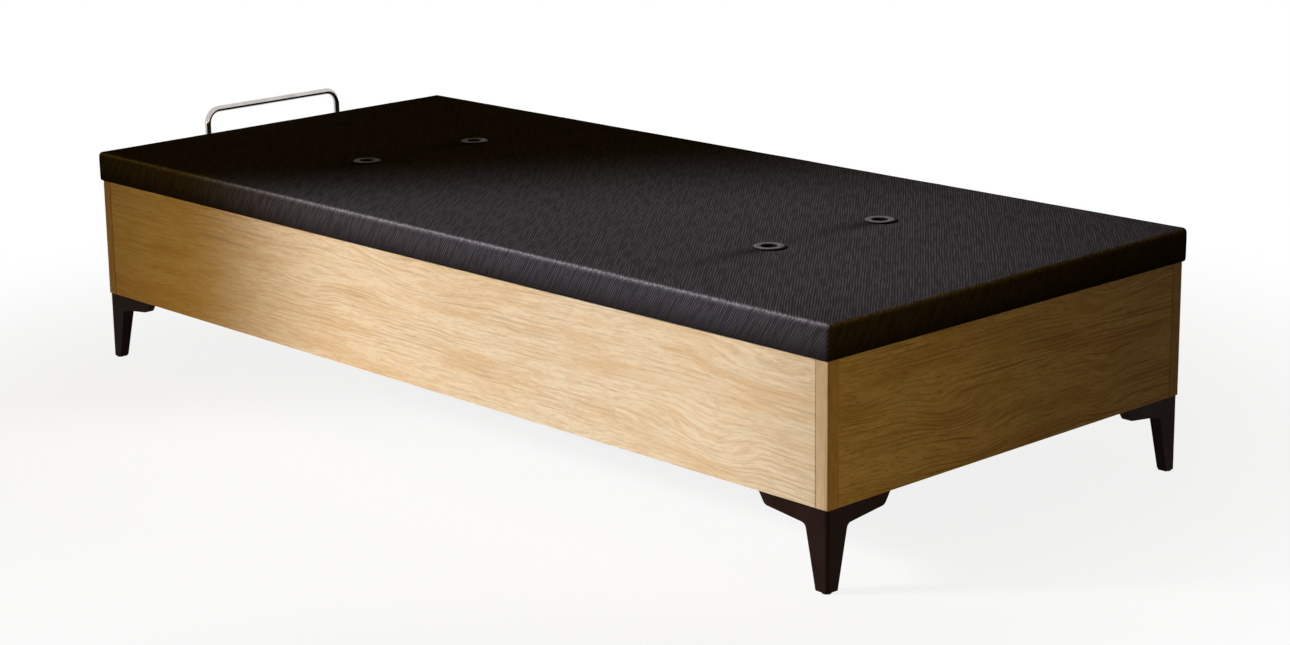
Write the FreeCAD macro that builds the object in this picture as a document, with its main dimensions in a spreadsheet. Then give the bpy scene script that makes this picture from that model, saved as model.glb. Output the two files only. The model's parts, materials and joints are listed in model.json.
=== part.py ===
# Lift-up storage bed: an oak-effect box on four bracket legs, closed by an upholstered,
# ventilated lid that swings up at the foot on a pair of four-bar lift mechanisms.
#
# Millimetres. +X points to the head end, +Y to the left as seen from the foot, +Z up.
# The origin is on the floor, under the middle of the whole bed with its mattress bar.

import FreeCAD, Part
import math
import os
import re

import Sketcher
from FreeCAD import Placement, Rotation, Vector

# ---------------------------------------------------------------- driving dimensions

SIZES = {
    # upholstered lid
    "lid_length": 2000,
    "lid_width": 900,
    "lid_thickness": 59,
    "lid_corner_radius": 8,
    "lid_edge_radius": 8,
    "lid_overhang": 6,
    "lid_gap": 0.3,
    "fabric_thickness": 2,
    "fabric_turn_in": 18,
    "cover_slack": 0.3,
    "rail_width": 60,
    "rail_height": 28,
    "lid_board_thickness": 6,
    "cross_bar_width": 40,
    "cross_bar_spacing": 330,
    # air vents in the lid
    "vent_spacing_x": 1090,
    "vent_spacing_y": 278,
    "vent_shift": 38,
    "vent_ring_diameter": 55,
    "vent_ring_height": 3,
    "vent_bore": 28,
    "vent_wall": 2,
    "vent_rounding": 1.2,
    # mattress bar at the foot end
    "bar_diameter": 13,
    "bar_spacing": 340,
    "bar_rise": 53,
    "bar_bend_radius": 28,
    "bar_foot_length": 12,
    "bar_stand_off": 0.3,
    "bar_bolt_diameter": 6,
    "bar_bolt_grip": 9,
    # box
    "box_height": 236,
    "panel_thickness": 16,
    "post_width": 25,
    "post_corner_radius": 2,
    "joint_chamfer": 0.8,
    "ledger_width": 20,
    "ledger_height": 14,
    "slat_width": 60,
    "floor_thickness": 4,
    "floor_play": 1,
    # dowels between the panels and the corner posts
    "dowel_diameter": 8,
    "dowel_length": 38,
    "dowel_in_post": 13,
    "dowel_low": 50,
    "dowel_rise": 130,
    "dowel_stagger": 20,
    # legs
    "leg_height": 136,
    "leg_inset": 1,
    "leg_wall": 17,
    "leg_foot_width": 24,
    "leg_knee_reach": 46,
    "leg_knee_drop": 30,
    "leg_wing_reach": 144,
    "leg_wing_depth": 20,
    "leg_tip_slope": 13,
    "leg_knee_radius": 10,
    "leg_tip_radius": 12,
    "leg_corner_radius": 6,
    "leg_foot_rounding": 1.5,
    "glide_diameter": 15,
    "glide_thickness": 2,
    "glide_stem_diameter": 4,
    "glide_stem_length": 12,
    "leg_screw_reach": 105,
    "leg_screw_inset": 8,
    "leg_screw_seat": 12,
    "leg_screw_length": 36,
    # wood screws, and the play of everything that sits in a drilled hole
    "screw_diameter": 4.5,
    "screw_head_diameter": 9,
    "screw_head_height": 2.5,
    "ledger_screw_length": 32,
    "slat_screw_length": 50,
    "slat_screw_spacing": 30,
    "plate_screw_length": 12,
    "bracket_screw_length": 20,
    "bore_play": 0.1,
    # lift mechanism: flat steel, in layers that start at the side panel's inner face
    "plate_thickness": 3,
    "arm_thickness": 4,
    "layer_gap": 0.5,
    "arm_width": 25,
    "control_width": 20,
    "plate_margin": 16,
    "plate_corner_radius": 8,
    "bracket_flange": 25,
    "bracket_margin": 14,
    "bracket_overrun": 42,
    "pin_diameter": 10,
    "pin_head_diameter": 17,
    "pin_head_height": 2.5,
    "slot_pin_diameter": 8,
    "slot_travel": 3.1,
    "slot_lean": 36,
    "slot_play": 0.6,
    "running_play": 0.05,
    # pivots, from the head panel's inner face and from the top edge of the box
    "lift_pivot_back": 458,
    "lift_pivot_drop": 56,
    "lid_pivot_back": 128,
    "lid_pivot_drop": 38,
    "control_pivot_back": 228,
    "control_pivot_drop": 66,
    "slot_pivot_back": 73,
    "slot_pivot_drop": 40,
    "spring_low_back": 208,
    "spring_low_rise": 18,
    "spring_high_back": 110,
    "spring_high_drop": 27,
    # gas springs
    "spring_diameter": 18,
    "spring_wall": 2,
    "spring_rod_diameter": 8,
    "spring_stud_diameter": 8,
    "spring_collar_diameter": 14,
    "spring_eye_diameter": 18,
    "spring_eye_thickness": 10,
    "spring_neck": 18,
    "spring_gland": 5,
    "spring_end_gap": 22,
    "spring_side_play": 0.5,
    "piston_length": 8,
}

SLAT_COUNT = 5
CROSS_BAR_COUNT = 3
BRACKET_SCREW_COUNT = 4

# ---------------------------------------------------------------- worked-out places

PLACES = {
    "lid_mid": "(bar_diameter + bar_stand_off) / 2",
    "box_length": "lid_length - 2 * lid_overhang",
    "box_width": "lid_width - 2 * lid_overhang",
    "head_inner": "lid_mid + box_length / 2 - panel_thickness",
    "foot_inner": "lid_mid - box_length / 2 + panel_thickness",
    "inner_half_width": "box_width / 2 - panel_thickness",
    "ledger_inner": "inner_half_width - ledger_width",
    "box_top": "leg_height + box_height",
    "floor_bottom": "leg_height + ledger_height",
    "floor_top": "floor_bottom + floor_thickness",
    "lid_top": "box_top + lid_thickness",
    "cover_bottom": "box_top + lid_gap",
    "rail_bottom": "cover_bottom + fabric_thickness",
    "board_bottom": "rail_bottom + rail_height",
    "foam_bottom": "board_bottom + lid_board_thickness",
    "foam_top": "lid_top - fabric_thickness - cover_slack",
    "core_inset": "fabric_thickness + cover_slack",
    "core_length": "lid_length - 2 * core_inset",
    "core_width": "lid_width - 2 * core_inset",
    "core_foot": "lid_mid - core_length / 2",
    "bar_x": "lid_mid - lid_length / 2 - bar_stand_off - bar_diameter / 2",
    "bar_bolt_z": "rail_bottom + rail_height / 2",
    "bar_bottom": "bar_bolt_z - bar_foot_length",
    "bar_top": "lid_top + bar_rise - bar_diameter / 2",
    "leg_screw_z": "leg_height - leg_screw_seat",
    "lift_x": "head_inner - lift_pivot_back",
    "lift_z": "box_top - lift_pivot_drop",
    "lid_pivot_x": "head_inner - lid_pivot_back",
    "lid_pivot_z": "box_top - lid_pivot_drop",
    "control_x": "head_inner - control_pivot_back",
    "control_z": "box_top - control_pivot_drop",
    "slot_x": "head_inner - slot_pivot_back",
    "slot_z": "box_top - slot_pivot_drop",
    "spring_low_x": "head_inner - spring_low_back",
    "spring_low_z": "floor_top + spring_low_rise",
    "spring_high_x": "head_inner - spring_high_back",
    "spring_high_z": "box_top - spring_high_drop",
    "arm_start": "plate_thickness + layer_gap",
    "bracket_start": "arm_start + arm_thickness + layer_gap",
    "control_start": "bracket_start + plate_thickness + layer_gap",
    "control_end": "control_start + arm_thickness",
    "spring_lane": "control_end + pin_head_height + layer_gap + spring_diameter / 2",
    "bracket_low_x": "lid_pivot_x - bracket_margin - bracket_overrun",
    "bracket_high_x": "slot_x + bracket_margin + bracket_overrun / 2",
    "spring_reach": "sqrt((spring_high_x - spring_low_x)^2 + (spring_high_z - spring_low_z)^2)",
    "spring_tube_end": "spring_reach - spring_end_gap",
}

CORNERS = (
    ("foot_right", -1, -1, 0),
    ("head_right", 1, -1, 90),
    ("head_left", 1, 1, 180),
    ("foot_left", -1, 1, 270),
)
SIDES = (("left", 1), ("right", -1))
ENDS = (("head", 1), ("foot", -1))

doc = FreeCAD.newDocument("storage_bed")
sheet = doc.addObject("Spreadsheet::Sheet", "sizes")
for row, (alias, size) in enumerate(SIZES.items(), start=1):
    sheet.set(f"A{row}", str(size))
    sheet.setAlias(f"A{row}", alias)
doc.recompute()

nodes = {}


def formula(text):
    """FreeCAD's expression for a text that names sizes and places."""

    def swap(match):
        word = match.group(0)
        if word in PLACES:
            return "(" + formula(PLACES[word]) + ")"
        return "sizes." + word if word in SIZES else word

    return re.sub(r"[a-z][a-z_0-9]*", swap, str(text))


def number(text):
    """The value that a text has now."""
    found = sheet.evalExpression(formula(text))
    return float(getattr(found, "Value", found))


def keep(label, piece):
    """Makes a document object the bed's sub-part of that name."""
    piece.Label = label
    nodes[label] = piece
    return piece


# ---------------------------------------------------------------- modelling helpers


def new_body(name, x, y, z, turn=0, axis=Vector(0, 0, 1), lean=None):
    """A body at a place worked out from the sizes, turned by plain degrees or by a formula."""
    body = doc.addObject("PartDesign::Body", name)
    body.Placement = Placement(Vector(), Rotation(axis, turn))
    for letter, text in zip("xyz", (x, y, z)):
        body.setExpression("Placement.Base." + letter, formula(text))
    if lean:
        body.setExpression("Placement.Rotation.Angle", formula(lean))
    return body


def new_sketch(body, role, lift=0):
    """A sketch on one of the body's own origin planes, lifted off it along its normal."""
    sketch = body.newObject("Sketcher::SketchObject", body.Name + "_sketch")
    flat = next(part for part in body.Origin.OriginFeatures if part.Role == role)
    sketch.AttachmentSupport = (flat, [""])
    sketch.MapMode = "FlatFace"
    if lift:
        sketch.setExpression("AttachmentOffset.Base.z", formula(lift))
    return sketch


def fix_point(sketch, geometry, point, x, y):
    """Ties a point of the sketch to two formulas."""
    for kind, text in (("DistanceX", x), ("DistanceY", y)):
        rule = Sketcher.Constraint(kind, -1, 1, geometry, point, number(text))
        index = sketch.addConstraint(rule)
        sketch.setExpression(f"Constraints[{index}]", formula(text))


def fix_radius(sketch, geometry, text):
    index = sketch.addConstraint(Sketcher.Constraint("Radius", geometry, number(text)))
    sketch.setExpression(f"Constraints[{index}]", formula(text))


def draw_outline(sketch, corners):
    """A closed polygon through corners that are pairs of formulas."""
    points = [Vector(number(x), number(y), 0) for x, y in corners]
    first = sketch.GeometryCount
    for start, end in zip(points, points[1:] + points[:1]):
        sketch.addGeometry(Part.LineSegment(start, end), False)
    for step, (x, y) in enumerate(corners):
        follower = first + (step + 1) % len(corners)
        sketch.addConstraint(Sketcher.Constraint("Coincident", first + step, 2, follower, 1))
        fix_point(sketch, first + step, 1, x, y)


def draw_rectangle(sketch, x0, y0, x1, y1):
    draw_outline(sketch, ((x0, y0), (x1, y0), (x1, y1), (x0, y1)))


def draw_circle(sketch, x, y, radius):
    centre = Vector(number(x), number(y), 0)
    ring = sketch.addGeometry(Part.Circle(centre, Vector(0, 0, 1), number(radius)), False)
    fix_point(sketch, ring, 3, x, y)
    fix_radius(sketch, ring, radius)


def draw_flat_bar(sketch, reach, radius):
    """A bar outline with round ends, from the sketch's origin along its X axis."""
    long, half = number(reach), number(radius)
    near = Part.Circle(Vector(0, 0, 0), Vector(0, 0, 1), half)
    far = Part.Circle(Vector(long, 0, 0), Vector(0, 0, 1), half)
    sketch.addGeometry(Part.ArcOfCircle(near, math.pi / 2, 3 * math.pi / 2), False)
    sketch.addGeometry(Part.LineSegment(Vector(0, -half, 0), Vector(long, -half, 0)), False)
    sketch.addGeometry(Part.ArcOfCircle(far, -math.pi / 2, math.pi / 2), False)
    sketch.addGeometry(Part.LineSegment(Vector(long, half, 0), Vector(0, half, 0)), False)
    for one, other in ((0, 1), (1, 2), (2, 3), (3, 0)):
        sketch.addConstraint(Sketcher.Constraint("Tangent", one, 2, other, 1))
    sketch.addConstraint(Sketcher.Constraint("Equal", 0, 2))
    fix_point(sketch, 0, 3, "0", "0")
    fix_point(sketch, 2, 3, reach, "0")
    fix_radius(sketch, 0, radius)


def pad(body, sketch, length, midplane=False, reverse=False):
    feature = body.newObject("PartDesign::Pad", body.Name + "_pad")
    feature.Profile = sketch
    feature.Midplane = midplane
    feature.Reversed = reverse
    feature.setExpression("Length", formula(length))
    return feature


def dress(body, kind, size_property, size, chosen):
    """Fillets or chamfers the edges of the body's tip that a test picks out."""
    doc.recompute()
    tip = body.Tip
    edges = [f"Edge{n}" for n, edge in enumerate(tip.Shape.Edges, start=1) if chosen(edge)]
    feature = body.newObject("PartDesign::" + kind, body.Name + "_" + kind.lower())
    feature.Base = (tip, edges)
    feature.setExpression(size_property, formula(size))
    return feature


def fillet(body, radius, chosen):
    return dress(body, "Fillet", "Radius", radius, chosen)


def chamfer(body, size, chosen):
    return dress(body, "Chamfer", "Size", size, chosen)


def runs_along(edge, axis):
    """True for a straight edge that lies along X, Y or Z."""
    if edge.Curve.TypeId != "Part::GeomLine":
        return False
    return abs(edge.Curve.Direction.dot(axis)) > 0.999


def middle(edge):
    return edge.BoundBox.Center


def all_at(edge, letter, text):
    """True for an edge that lies in the plane where that coordinate has the text's value."""
    box = edge.BoundBox
    low = getattr(box, letter + "Min")
    high = getattr(box, letter + "Max")
    return max(abs(low - number(text)), abs(high - number(text))) < 0.01


def drilled(label, blank, *bores):
    """The sub-part of that name: the blank less each group of bores."""
    blank.Label = label + "_blank"
    piece = blank
    for step, bore in enumerate(bores, start=1):
        cut = doc.addObject("Part::Cut", f"{label}_cut{step}")
        cut.Base = piece
        cut.Tool = bore
        piece = cut
    return keep(label, piece)


def group(label, solids):
    """Separate solids in one object."""
    piece = doc.addObject("Part::Feature", label)
    piece.Shape = Part.makeCompound(solids)
    return piece


def stack(base, direction, steps):
    """A turned part: cylinders of (radius, length) end to end from a base point."""
    place = Vector(base)
    heading = Vector(direction).normalize()
    solids = []
    for radius, length in steps:
        solids.append(Part.makeCylinder(radius, length, place, heading))
        place = place + heading * length
    whole = solids[0].multiFuse(solids[1:]) if len(solids) > 1 else solids[0]
    return whole.removeSplitter()


def wood_screw(seat, direction, length):
    """A pan-head screw: its head stands on the seat and its shank runs along the direction."""
    heading = Vector(direction).normalize()
    head = number("screw_head_height")
    steps = (
        (number("screw_head_diameter / 2"), head),
        (number("screw_diameter / 2"), length),
    )
    return stack(Vector(seat) - heading * head, heading, steps)


def sunk_screw(mouth, direction, length):
    """A countersunk screw whose head is flush with the mouth of its hole."""
    heading = Vector(direction).normalize()
    radius = number("screw_diameter / 2")
    head_radius = number("screw_head_diameter / 2")
    cone = Part.makeCone(head_radius, radius, head_radius - radius, Vector(mouth), heading)
    shank = Part.makeCylinder(radius, length, Vector(mouth), heading)
    return cone.fuse(shank).removeSplitter()


def screw_bore(mouth, direction, length):
    """The hole that a countersunk screw of that length sits in."""
    heading = Vector(direction).normalize()
    play = number("bore_play")
    radius = number("screw_diameter / 2") + play
    head_radius = number("screw_head_diameter / 2") + play
    cone = Part.makeCone(head_radius, radius, head_radius - radius, Vector(mouth), heading)
    shank = Part.makeCylinder(radius, length + play, Vector(mouth), heading)
    return cone.fuse(shank)


# ---------------------------------------------------------------- box: fasteners first

# The dowels of one corner are at two heights, and the end panels' are staggered above the
# side panels', because the two pairs cross inside the post.


def dowel_places():
    """Each dowel's end inside a post and the direction in which it runs into its panel."""
    half_long = number("box_length / 2")
    half_wide = number("box_width / 2")
    mid_panel = number("panel_thickness / 2")
    inset = number("post_width - dowel_in_post")
    for _, end, side, _ in CORNERS:
        for storey in range(2):
            z = number(f"leg_height + dowel_low + {storey} * dowel_rise")
            x = number("lid_mid") + end * (half_long - inset)
            yield Vector(x, side * (half_wide - mid_panel), z), Vector(-end, 0, 0)
            x = number("lid_mid") + end * (half_long - mid_panel)
            z = z + number("dowel_stagger")
            yield Vector(x, side * (half_wide - inset), z), Vector(0, -side, 0)


def make_dowels():
    radius = number("dowel_diameter / 2")
    play = number("bore_play")
    long = number("dowel_length")
    dowels = []
    bores = []
    for place, heading in dowel_places():
        dowels.append(Part.makeCylinder(radius, long, place, heading))
        start = place - heading * play
        bores.append(Part.makeCylinder(radius + play, long + 2 * play, start, heading))
    keep("corner_dowels", group("corner_dowels", dowels))
    return group("dowel_bores", bores)


def spread(step, count, low, high):
    """The formula of one of several evenly spaced places from low to high."""
    share = step / (count - 1)
    return f"({low}) * {1 - share} + ({high}) * {share}"


def slat_place(step):
    """X of a slat's middle: the outer ones lie against the end panels."""
    return spread(step, SLAT_COUNT, "foot_inner + slat_width / 2", "head_inner - slat_width / 2")


def floor_screw_places():
    """X and Y of each screw's mouth, its direction along Y and its length."""
    slats = [number(slat_place(step)) for step in range(SLAT_COUNT)]
    half_gap = number("slat_screw_spacing / 2")
    for _, side in SIDES:
        for x in slats:
            for shift in (-half_gap, half_gap):
                yield x + shift, side * number("inner_half_width"), -side, "slat_screw_length"
        for low, high in zip(slats, slats[1:]):
            middle_x = (low + high) / 2
            yield middle_x, side * number("ledger_inner"), side, "ledger_screw_length"


def make_floor_screws():
    """Slats are screwed through the ledgers, and the ledgers are screwed to the side panels."""
    solids = []
    bores = []
    for x, y, heading, length in floor_screw_places():
        mouth = Vector(x, y, number("leg_height + ledger_height / 2"))
        solids.append(sunk_screw(mouth, Vector(0, heading, 0), number(length)))
        bores.append(screw_bore(mouth, Vector(0, heading, 0), number(length)))
    keep("floor_frame_screws", group("floor_frame_screws", solids))
    return group("floor_frame_bores", bores)


def leg_corner(end, side):
    """The leg's own outer corner, on the floor."""
    x = number("lid_mid") + end * number("box_length / 2 - leg_inset")
    return Vector(x, side * number("box_width / 2 - leg_inset"), 0)


def make_leg_screws():
    """Two screws per leg, one up through each wing into the panel above it."""
    reach = number("leg_screw_reach")
    inset = number("leg_screw_inset")
    seat = number("leg_screw_z")
    play = number("bore_play")
    solids = []
    bores = []
    for _, end, side, _ in CORNERS:
        corner = leg_corner(end, side)
        for along, across in ((reach, inset), (inset, reach)):
            place = Vector(corner.x - end * along, corner.y - side * across, seat)
            solids.append(wood_screw(place, Vector(0, 0, 1), number("leg_screw_length")))
            steps = (
                (number("screw_head_diameter / 2") + 2 * play, seat),
                (number("screw_diameter / 2") + play, number("leg_screw_length") + play),
            )
            bores.append(stack(Vector(place.x, place.y, 0), Vector(0, 0, 1), steps))
    keep("leg_screws", group("leg_screws", solids))
    return group("leg_screw_bores", bores)


def make_glides():
    """Nail-in plastic glides under the legs."""
    middle_of_foot = number("leg_wall") - number("glide_diameter / 2")
    disc = number("glide_diameter / 2"), number("glide_thickness")
    stem = number("glide_stem_diameter / 2"), number("glide_stem_length")
    play = number("bore_play")
    solids = []
    bores = []
    for _, end, side, _ in CORNERS:
        corner = leg_corner(end, side)
        x = corner.x - end * middle_of_foot
        y = corner.y - side * middle_of_foot
        solids.append(stack(Vector(x, y, 0), Vector(0, 0, 1), (disc, stem)))
        top = disc[1] + stem[1] + play
        bores.append(Part.makeCylinder(stem[0] + play, top, Vector(x, y, 0)))
    keep("foot_glides", group("foot_glides", solids))
    return group("glide_bores", bores)


# ---------------------------------------------------------------- box: panels and legs


def make_panel(label, length, x, y, turn, *bores):
    """A board with its outer face in the local XZ plane; its two outer end edges are eased."""
    body = new_body(label + "_blank", x, y, "leg_height", turn)
    sketch = new_sketch(body, "XY_Plane")
    half = f"({length}) / 2"
    draw_rectangle(sketch, "-" + half, "-panel_thickness", half, "0")
    pad(body, sketch, "box_height")
    chamfer(
        body,
        "joint_chamfer",
        lambda edge: runs_along(edge, Vector(0, 0, 1)) and all_at(edge, "Y", "0"),
    )
    return drilled(label, body, *bores)


def make_post(name, end, side, turn, *bores):
    """A square corner post, rounded outside, with eased edges where the panels meet it."""
    label = "corner_post_" + name
    x = f"lid_mid + {end} * box_length / 2"
    y = f"{side} * box_width / 2"
    body = new_body(label + "_blank", x, y, "leg_height", turn)
    sketch = new_sketch(body, "XY_Plane")
    draw_rectangle(sketch, "0", "0", "post_width", "post_width")
    pad(body, sketch, "box_height")

    def outer(edge):
        place = middle(edge)
        return runs_along(edge, Vector(0, 0, 1)) and place.x + place.y < 0.01

    def meeting(edge):
        place = middle(edge)
        along = abs(place.x + place.y - number("post_width")) < 0.01
        return runs_along(edge, Vector(0, 0, 1)) and along and place.x * place.y < 1

    fillet(body, "post_corner_radius", outer)
    chamfer(body, "joint_chamfer", meeting)
    return drilled(label, body, *bores)


def leg_profile(sketch):
    """One face of the leg: a tapered foot that flares into a wing under the panel."""
    draw_outline(
        sketch,
        (
            ("0", "glide_thickness"),
            ("leg_foot_width", "glide_thickness"),
            ("leg_knee_reach", "leg_height - leg_knee_drop"),
            ("leg_wing_reach - leg_tip_slope", "leg_height - leg_wing_depth"),
            ("leg_wing_reach", "leg_height"),
            ("0", "leg_height"),
        ),
    )


def make_leg(name, end, side, turn, *bores):
    """A bracket leg: two equal profiles at a right angle, joined along the outer corner."""
    label = "leg_" + name
    x = f"lid_mid + {end} * (box_length / 2 - leg_inset)"
    y = f"{side} * (box_width / 2 - leg_inset)"
    body = new_body(label + "_blank", x, y, "0", turn)
    along_x = new_sketch(body, "XZ_Plane")
    leg_profile(along_x)
    pad(body, along_x, "leg_wall", reverse=True)
    along_y = new_sketch(body, "YZ_Plane")
    leg_profile(along_y)
    pad(body, along_y, "leg_wall")

    def crosses(edge, reach, z):
        """True for the edge across either wing at that reach and height."""
        place = middle(edge)
        level = all_at(edge, "Z", z)
        at_x = runs_along(edge, Vector(0, 1, 0)) and abs(place.x - number(reach)) < 0.01
        at_y = runs_along(edge, Vector(1, 0, 0)) and abs(place.y - number(reach)) < 0.01
        return level and (at_x or at_y)

    fillet(
        body,
        "leg_knee_radius",
        lambda edge: crosses(edge, "leg_knee_reach", "leg_height - leg_knee_drop"),
    )
    tip_reach = "leg_wing_reach - leg_tip_slope"
    fillet(
        body,
        "leg_tip_radius",
        lambda edge: crosses(edge, tip_reach, "leg_height - leg_wing_depth"),
    )

    def outer(edge):
        place = middle(edge)
        return runs_along(edge, Vector(0, 0, 1)) and place.x + place.y < 0.01

    fillet(body, "leg_corner_radius", outer)
    fillet(body, "leg_foot_rounding", lambda edge: all_at(edge, "Z", "glide_thickness"))
    return drilled(label, body, *bores)


def make_ledger(name, side, *bores):
    """The batten along a side panel's foot that the slats and the floor boards lie on."""
    label = "floor_ledger_" + name
    body = new_body(label + "_blank", "lid_mid", f"{side} * inner_half_width", "leg_height")
    sketch = new_sketch(body, "XY_Plane")
    half = "(box_length / 2 - post_width)"
    draw_rectangle(sketch, "-" + half, f"{-side} * ledger_width", half, "0")
    pad(body, sketch, "ledger_height")
    return drilled(label, body, *bores)


def make_slat(step, *bores):
    """A cross slat between the two ledgers, flush with them."""
    label = f"floor_slat_{step + 1}"
    body = new_body(label + "_blank", slat_place(step), "0", "leg_height")
    sketch = new_sketch(body, "XY_Plane")
    draw_rectangle(sketch, "-slat_width / 2", "-ledger_inner", "slat_width / 2", "ledger_inner")
    pad(body, sketch, "ledger_height")
    return drilled(label, body, *bores)


def make_floor_board(name, end):
    """Half of the storage floor, notched round the two corner posts at its end."""
    label = "floor_board_" + name
    body = new_body(label, "lid_mid", "0", "floor_bottom", 0 if end > 0 else 180)
    sketch = new_sketch(body, "XY_Plane")
    edge_x = "(box_length / 2 - panel_thickness - floor_play)"
    edge_y = "(inner_half_width - floor_play)"
    notch_x = "(box_length / 2 - post_width - floor_play)"
    notch_y = "(box_width / 2 - post_width - floor_play)"
    draw_outline(
        sketch,
        (
            ("floor_play / 2", "-" + edge_y),
            (notch_x, "-" + edge_y),
            (notch_x, "-" + notch_y),
            (edge_x, "-" + notch_y),
            (edge_x, notch_y),
            (notch_x, notch_y),
            (notch_x, edge_y),
            ("floor_play / 2", edge_y),
        ),
    )
    pad(body, sketch, "floor_thickness")
    return keep(label, body)


# ---------------------------------------------------------------- lift mechanism

# The pieces of each side lie in layers, counted inwards from the side panel's inner face:
# base plate, lift arm, lid bracket, control arm, gas spring.


def layer_y(side, distance):
    """Y of a plane at that distance inwards from the side panel's inner face."""
    return f"{side} * (inner_half_width - ({distance}))"


def at(side, x, z, distance):
    """A point beside a side panel, at that distance inwards from it."""
    return Vector(number(x), number(layer_y(side, distance)), number(z))


def plate_screw_places():
    """X and Z of the screws that hold a base plate, all clear of the arms."""
    yield "lift_x", "lift_z - 2.3 * plate_margin"
    yield "(lift_x + control_x) / 2", "lift_z - 3.2 * plate_margin"
    yield "control_x", "control_z - 2.5 * plate_margin"
    yield "spring_low_x - 2.4 * plate_margin", "spring_low_z + plate_margin / 2"


def make_plate_screws():
    solids = []
    bores = []
    length = number("plate_screw_length + plate_thickness")
    play = number("bore_play")
    for _, side in SIDES:
        outwards = Vector(0, side, 0)
        for x, z in plate_screw_places():
            seat = at(side, x, z, "plate_thickness")
            solids.append(wood_screw(seat, outwards, length))
            radius = number("screw_diameter / 2") + play
            bores.append(Part.makeCylinder(radius, length + play, seat, outwards))
    keep("base_plate_screws", group("base_plate_screws", solids))
    return group("base_plate_bores", bores)


def make_base_pins():
    """Rivets on the base plates: one carries the lift arm, one the control arm."""
    radius = number("pin_diameter / 2")
    head = number("pin_head_diameter / 2"), number("pin_head_height - layer_gap")
    play = number("running_play")
    solids = []
    bores = []
    for _, side in SIDES:
        inwards = Vector(0, -side, 0)
        short = radius, number("arm_start + arm_thickness") + play
        solids.append(stack(at(side, "lift_x", "lift_z", "0"), inwards, (short, head)))
        collar = head[0], number("control_start - plate_thickness") - play
        through = radius, number("arm_thickness") + 2 * play
        steps = ((radius, number("plate_thickness")), collar, through, head)
        solids.append(stack(at(side, "control_x", "control_z", "0"), inwards, steps))
        for x, z in (("lift_x", "lift_z"), ("control_x", "control_z")):
            bores.append(Part.makeCylinder(radius, number("arm_start"), at(side, x, z, "0"), inwards))
    keep("base_pivot_pins", group("base_pivot_pins", solids))
    return group("base_pin_bores", bores)


def spring_studs(label, x, z, root, carrier):
    """Collared studs that carry one eye of each gas spring, and their holes in the carrier."""
    shank = number("spring_stud_diameter / 2")
    collar = number("spring_collar_diameter / 2")
    play = number("running_play")
    half_eye = number("spring_eye_thickness / 2") + play
    lane = number("spring_lane")
    foot = number(carrier)
    solids = []
    bores = []
    for _, side in SIDES:
        inwards = Vector(0, -side, 0)
        start = at(side, x, z, root)
        steps = (
            (shank, foot - number(root)),
            (collar, lane - half_eye - foot),
            (shank, 2 * half_eye),
            (collar, number("pin_head_height - layer_gap")),
        )
        solids.append(stack(start, inwards, steps))
        bores.append(Part.makeCylinder(shank, foot - number(root), start, inwards))
    keep(label, group(label, solids))
    return group(label + "_bores", bores)


def make_base_plate(name, side, *bores):
    """The steel plate on a side panel that carries both arms and the gas spring's foot."""
    label = "base_plate_" + name
    y = layer_y(side, "plate_thickness / 2")
    body = new_body(label + "_blank", "0", y, "0")
    sketch = new_sketch(body, "XZ_Plane")
    draw_outline(
        sketch,
        (
            ("lift_x - 1.4 * plate_margin", "lift_z - 3.4 * plate_margin"),
            ("spring_low_x - 4 * plate_margin", "spring_low_z - 0.7 * plate_margin"),
            ("spring_low_x + 1.5 * plate_margin", "spring_low_z - 0.7 * plate_margin"),
            ("spring_low_x + 1.5 * plate_margin", "lift_z + plate_margin"),
            ("lift_x - 1.4 * plate_margin", "lift_z + plate_margin"),
        ),
    )
    pad(body, sketch, "plate_thickness", midplane=True)
    fillet(body, "plate_corner_radius", lambda edge: runs_along(edge, Vector(0, 1, 0)))
    return drilled(label, body, *bores)


def make_arm(label, side, ends, width, start, far_bore):
    """A flat bar with round ends between two pivots, with a hole at each."""
    x0, z0, x1, z1 = ends
    reach = f"sqrt(({x1} - {x0})^2 + ({z1} - {z0})^2)"
    lean = f"atan2({z1} - {z0}; {x1} - {x0})"
    y = layer_y(side, f"{start} + arm_thickness / 2")
    body = new_body(label, x0, y, z0, axis=Vector(0, -1, 0), lean=lean)
    sketch = new_sketch(body, "XZ_Plane")
    draw_flat_bar(sketch, reach, f"{width} / 2")
    draw_circle(sketch, "0", "0", "pin_diameter / 2 + running_play")
    draw_circle(sketch, reach, "0", far_bore)
    pad(body, sketch, "arm_thickness", midplane=True)
    return keep(label, body)


def make_slot_pins():
    """Pins on the control arms that run in the lid brackets' slots."""
    radius = number("slot_pin_diameter / 2")
    head = number("pin_head_diameter / 2"), number("pin_head_height - layer_gap")
    play = number("running_play")
    solids = []
    for _, side in SIDES:
        outer_head_top = number("bracket_start") - play - head[1]
        start = at(side, "slot_x", "slot_z", outer_head_top)
        shank = radius, number("control_end") - outer_head_top - head[1]
        solids.append(stack(start, Vector(0, -side, 0), (head, shank, head)))
    keep("slot_pins", group("slot_pins", solids))


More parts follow.
